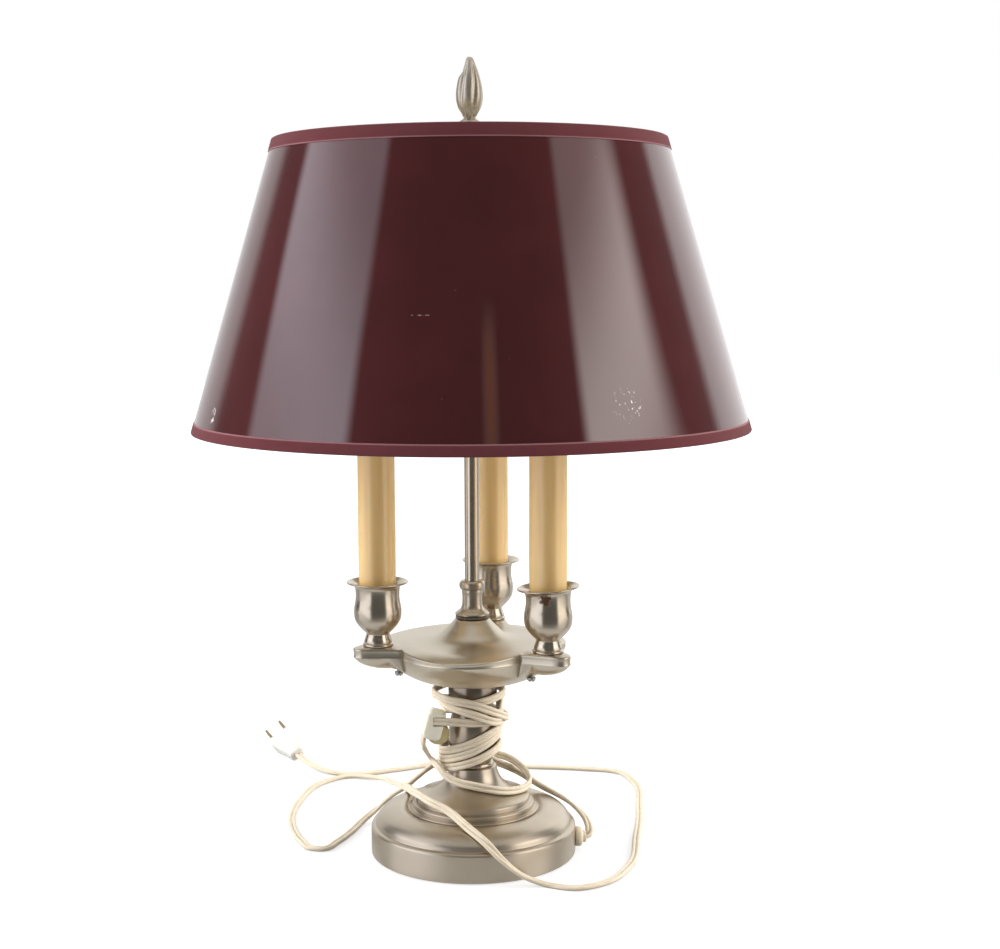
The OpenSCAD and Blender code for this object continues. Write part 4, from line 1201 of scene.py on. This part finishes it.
# Azimuths in degrees where the backdrop starts, on the right and on the left
BEHIND_RIGHT = (115, 125)
BEHIND_LEFT = (-136, -124)
COOL = (0.95, 0.97, 1.06)
WARM = (1.04, 0.98, 0.94)
# A narrow warm light near the front, in the heights that the shade mirrors
GLOW_AZIMUTH = 8.4
GLOW_HALF = 4.6
GLOW_FOOT = (0.42, 0.47)
GLOW_HEAD = (0.50, 0.535)
GLOW_LEVEL = 0.7
GLOW_COLOUR = (1.0, 0.52, 0.25)
# A panel's left and right edge in degrees of azimuth, seen from the lamp with 0 towards the
# camera: near the horizon, where the shade's foot mirrors it, and the lean above that
LEFT_PANEL = {"left": (-99, -107.4, 64), "right": (-32, -52.6, 25), "soft": (4, 3),
              "level": (1.3, 2.15, 1.05)}
RIGHT_PANEL = {"left": (46, 49, 8), "right": (97, 89.5, -40), "soft": (3, 7),
               "level": (1.3, 3.3, 0.95)}


def panel_edge(n, z, low, high, lean):
    """Azimuth of a panel's edge at a height z of the direction."""
    above = n.minus(n.math("MAXIMUM", z, EDGE_BEND), EDGE_BEND)
    edge = n.spread(z, math.radians(low), math.radians(high), EDGE_FOOT, METAL_SIGHT[1])
    return n.plus(edge, n.times(above, math.radians(lean)))


def panel_light(n, azimuth, z, panel):
    """Level of a panel in a direction: 0 beside it, brightest where the shade's foot sees it."""
    soft_left, soft_right = (math.radians(a) for a in panel["soft"])
    past_left = n.minus(azimuth, panel_edge(n, z, *panel["left"]))
    past_right = n.minus(azimuth, panel_edge(n, z, *panel["right"]))
    low, middle, high = panel["level"]
    return n.times(n.rise(past_left, -soft_left, soft_left),
                   n.fall(past_right, -soft_right, soft_right),
                   n.spread(z, low, middle, *METAL_SIGHT),
                   n.spread(z, 1.0, high / middle, *SHADE_SIGHT))


def make_world():
    """Soft studio: a bright panel on each side, a pale ceiling and backdrop, a dark front."""
    world = bpy.data.worlds.new("studio")
    bpy.context.scene.world = world
    world.use_nodes = True
    n = Nodes(world.node_tree)
    x, y, z = n.split(n.add("TexCoord").outputs["Generated"])
    azimuth = n.math("ARCTAN2", x, n.times(y, -1.0))
    panels = n.plus(panel_light(n, azimuth, z, LEFT_PANEL),
                    panel_light(n, azimuth, z, RIGHT_PANEL))
    behind = n.math("MAXIMUM", n.rise(azimuth, *map(math.radians, BEHIND_RIGHT)),
                    n.fall(azimuth, *map(math.radians, BEHIND_LEFT)))
    backdrop = n.spread(x, BACKDROP_LEFT - DARK, BACKDROP_RIGHT - DARK, -0.8, 0.8)
    around = n.plus(panels, n.plus(n.times(behind, backdrop), DARK))
    upward = n.rise(z, *CEILING_SIGHT)
    level = n.plus(n.times(around, n.minus(1.0, upward)), n.times(upward, CEILING))
    paths = n.add("LightPath").outputs
    seen = n.math("MAXIMUM", paths["Is Camera Ray"], paths["Is Transmission Ray"])
    unseen = n.minus(1.0, seen)
    away = n.math("ABSOLUTE", n.minus(azimuth, math.radians(GLOW_AZIMUTH)))
    glow = n.times(n.fall(away, 0.0, math.radians(GLOW_HALF)), n.fall(z, *GLOW_HEAD),
                   n.rise(z, *GLOW_FOOT), unseen)
    level = n.plus(level, n.times(glow, GLOW_LEVEL))
    tint = n.mix(n.rise(x, -0.3, 0.3), COOL, WARM)
    tint = n.mix(n.times(n.math("MINIMUM", panels, 1.0), unseen), (1.0, 1.0, 1.0), tint)
    background = n.tree.nodes["Background"]
    n.set(background.inputs["Strength"], n.plus(n.times(level, unseen), seen))
    n.set(background.inputs["Color"], n.mix(glow, tint, GLOW_COLOUR))


FLOOR_CORNERS = ((-3.0, -0.36, 0), (3.0, -0.36, 0), (3.0, 5.0, 0), (-3.0, 5.0, 0))
FLOOR_Z = -0.0002
# Distances from the lamp over which the floor's mirrored glow ends, and it turns white
GLOW_ENDS = (0.12, 0.45)
WHITE_FROM = (0.5, 2.0)


def make_floor():
    """White glossy table top that keeps a faint shadow and ends in front of the lamp."""
    mesh = bpy.data.meshes.new("floor")
    mesh.from_pydata(FLOOR_CORNERS, [], [(0, 1, 2, 3)])
    floor = add_object("floor", mesh, (0, 0, FLOOR_Z))
    n = Paint("floor_paper")
    paths = n.add("LightPath").outputs
    glossy = paths["Is Glossy Ray"]
    away = n.add("VectorMath", "LENGTH", i0=n.place()).outputs["Value"]
    white = n.times(paths["Is Camera Ray"], n.spread(away, 0.62, 1.0, *WHITE_FROM))
    mirrored = n.times(glossy, n.fall(away, *GLOW_ENDS), 0.25)
    mesh.materials.append(n.paint(
        Base_Color=n.mix(n.noise(n.place(), 300.0, 2.0), (0.44, 0.44, 0.44), (0.46, 0.46, 0.46)),
        Roughness=0.3, Metallic=n.times(glossy, 0.55), Specular_IOR_Level=0.0,
        Emission_Color=(1, 1, 1), Emission_Strength=n.plus(white, mirrored)))


# Area lamps: name, place, size and watts, all aimed at the middle of the lamp
LAMP_AIM = (0, 0, 0.25)
LAMPS = (("left_panel", (-1.7, 0.1, 0.75), (0.8, 1.4), 31),
         ("right_panel", (1.7, 0.1, 0.75), (0.8, 1.4), 28),
         ("top_panel", (0, 0.1, 2.2), (1.6, 1.6), 8),
         ("front_panel", (-0.3, -1.9, 1.3), (1.6, 1.0), 3))


def make_lamps():
    """A large area lamp on each side and weak ones above and in front, for the matt parts."""
    for name, place, size, power in LAMPS:
        data = bpy.data.lights.new(name, "AREA")
        data.shape = "RECTANGLE"
        data.size, data.size_y = size
        data.energy = power
        lamp = add_object(name, data, place)
        aim = Vector(LAMP_AIM) - Vector(place)
        lamp.rotation_euler = aim.to_track_quat("-Z", "Y").to_euler()
        lamp.visible_glossy = False


# ---------------------------------------------------------------- making
def main():
    bpy.context.scene.view_settings.view_transform = "Standard"
    make_camera()
    vinyl = cord_vinyl()
    switch_plastic = moulded("switch_plastic", (0.90, 0.87, 0.72), (0.84, 0.80, 0.62), 0.38,
                             subsurface=0.1, coat=0.2)
    wheel_plastic = moulded("wheel_plastic", (0.62, 0.52, 0.27), (0.50, 0.40, 0.18), 0.42)
    plug_vinyl = moulded("plug_vinyl", (0.80, 0.79, 0.74), (0.72, 0.70, 0.63), 0.42,
                         subsurface=0.12)
    steel = plain_metal("plain_steel", (0.50, 0.48, 0.45), 0.34)
    brass = plain_metal("cap_brass", (0.60, 0.46, 0.24), 0.33)
    switch = make_switch(switch_plastic, wheel_plastic, steel)
    plug = make_plug(plug_vinyl, brass)
    winding = from_polar(LOWER_TURNS + UPPER_TURNS + RETURN_TO_SWITCH)
    make_flat_cord("cord_to_switch", LEAD_ROUTE + winding, vinyl, ["cord_lead", "cord_winding"],
                   exit=BUSHING_EXIT, far_end="fitting", with_pieces=switch)
    make_flat_cord("cord_to_plug", TAIL_ROUTE, vinyl, ["cord_tail"],
                   exit=SWITCH_EXIT, far_end="plug", with_pieces=plug)
    make_bushing(vinyl)

    satin = nickel("satin_nickel", rough=0.34)
    bright = nickel("bright_nickel", (0.63, 0.55, 0.44), rough=0.24, ring_bump=0.000002)
    flat_satin = nickel("tray_nickel", (0.68, 0.61, 0.49), rough=0.33, turned=False)
    dark = nickel("dark_ring", (0.34, 0.30, 0.25), rough=0.34, turned=False)
    clear = glass()
    wax = candle()
    make_base(satin, felt())
    # The vase's and the collar's nickel are darkened: painted shade.
    make_stem(satin, bright, nickel("vase_nickel_painted_shade", (0.43, 0.36, 0.28), rough=0.3),
              nickel("collar_nickel_painted_shade", (0.32, 0.27, 0.21), rough=0.3))
    make_tray(flat_satin)
    make_tray_screws(steel)
    make_column(satin, bright, dark)
    for i in (1, 2, 3):
        metal = stained_nickel("stained_nickel") if i == 3 else bright
        make_candle(i, metal, wax, brass, clear)
    make_shade(lacquer(), lining(), tape())
    make_finial(nickel("finial_metal", (0.60, 0.54, 0.44), rough=0.42, turned=False,
                       ring_bump=0.000001))
    phenolic = moulded("socket_phenolic", (0.022, 0.018, 0.016), (0.035, 0.027, 0.022), 0.4)
    dress_cad_nodes((
        (cast_iron(), ["base_weight"]),
        (steel, ["base_washer", "base_nut", "threaded_rod", "tray_nut", "nipple_nuts",
                 "top_wire_ring", "bottom_wire_ring", "socket_bracket_1", "socket_bracket_2",
                 "socket_bracket_3", "candle_nipple_1", "candle_nipple_2", "candle_nipple_3"]),
        (brass, ["top_stud", "shade_spider"]),
        (phenolic, ["lamp_socket_1", "lamp_socket_2", "lamp_socket_3"]),
        (vinyl, ["inner_cord", "socket_leads"]),
    ))
    make_world()
    make_floor()
    make_lamps()


def write_sizes():
    """Brings the scene up to date after the making."""
    bpy.context.view_layer.update()


main()
write_sizes()
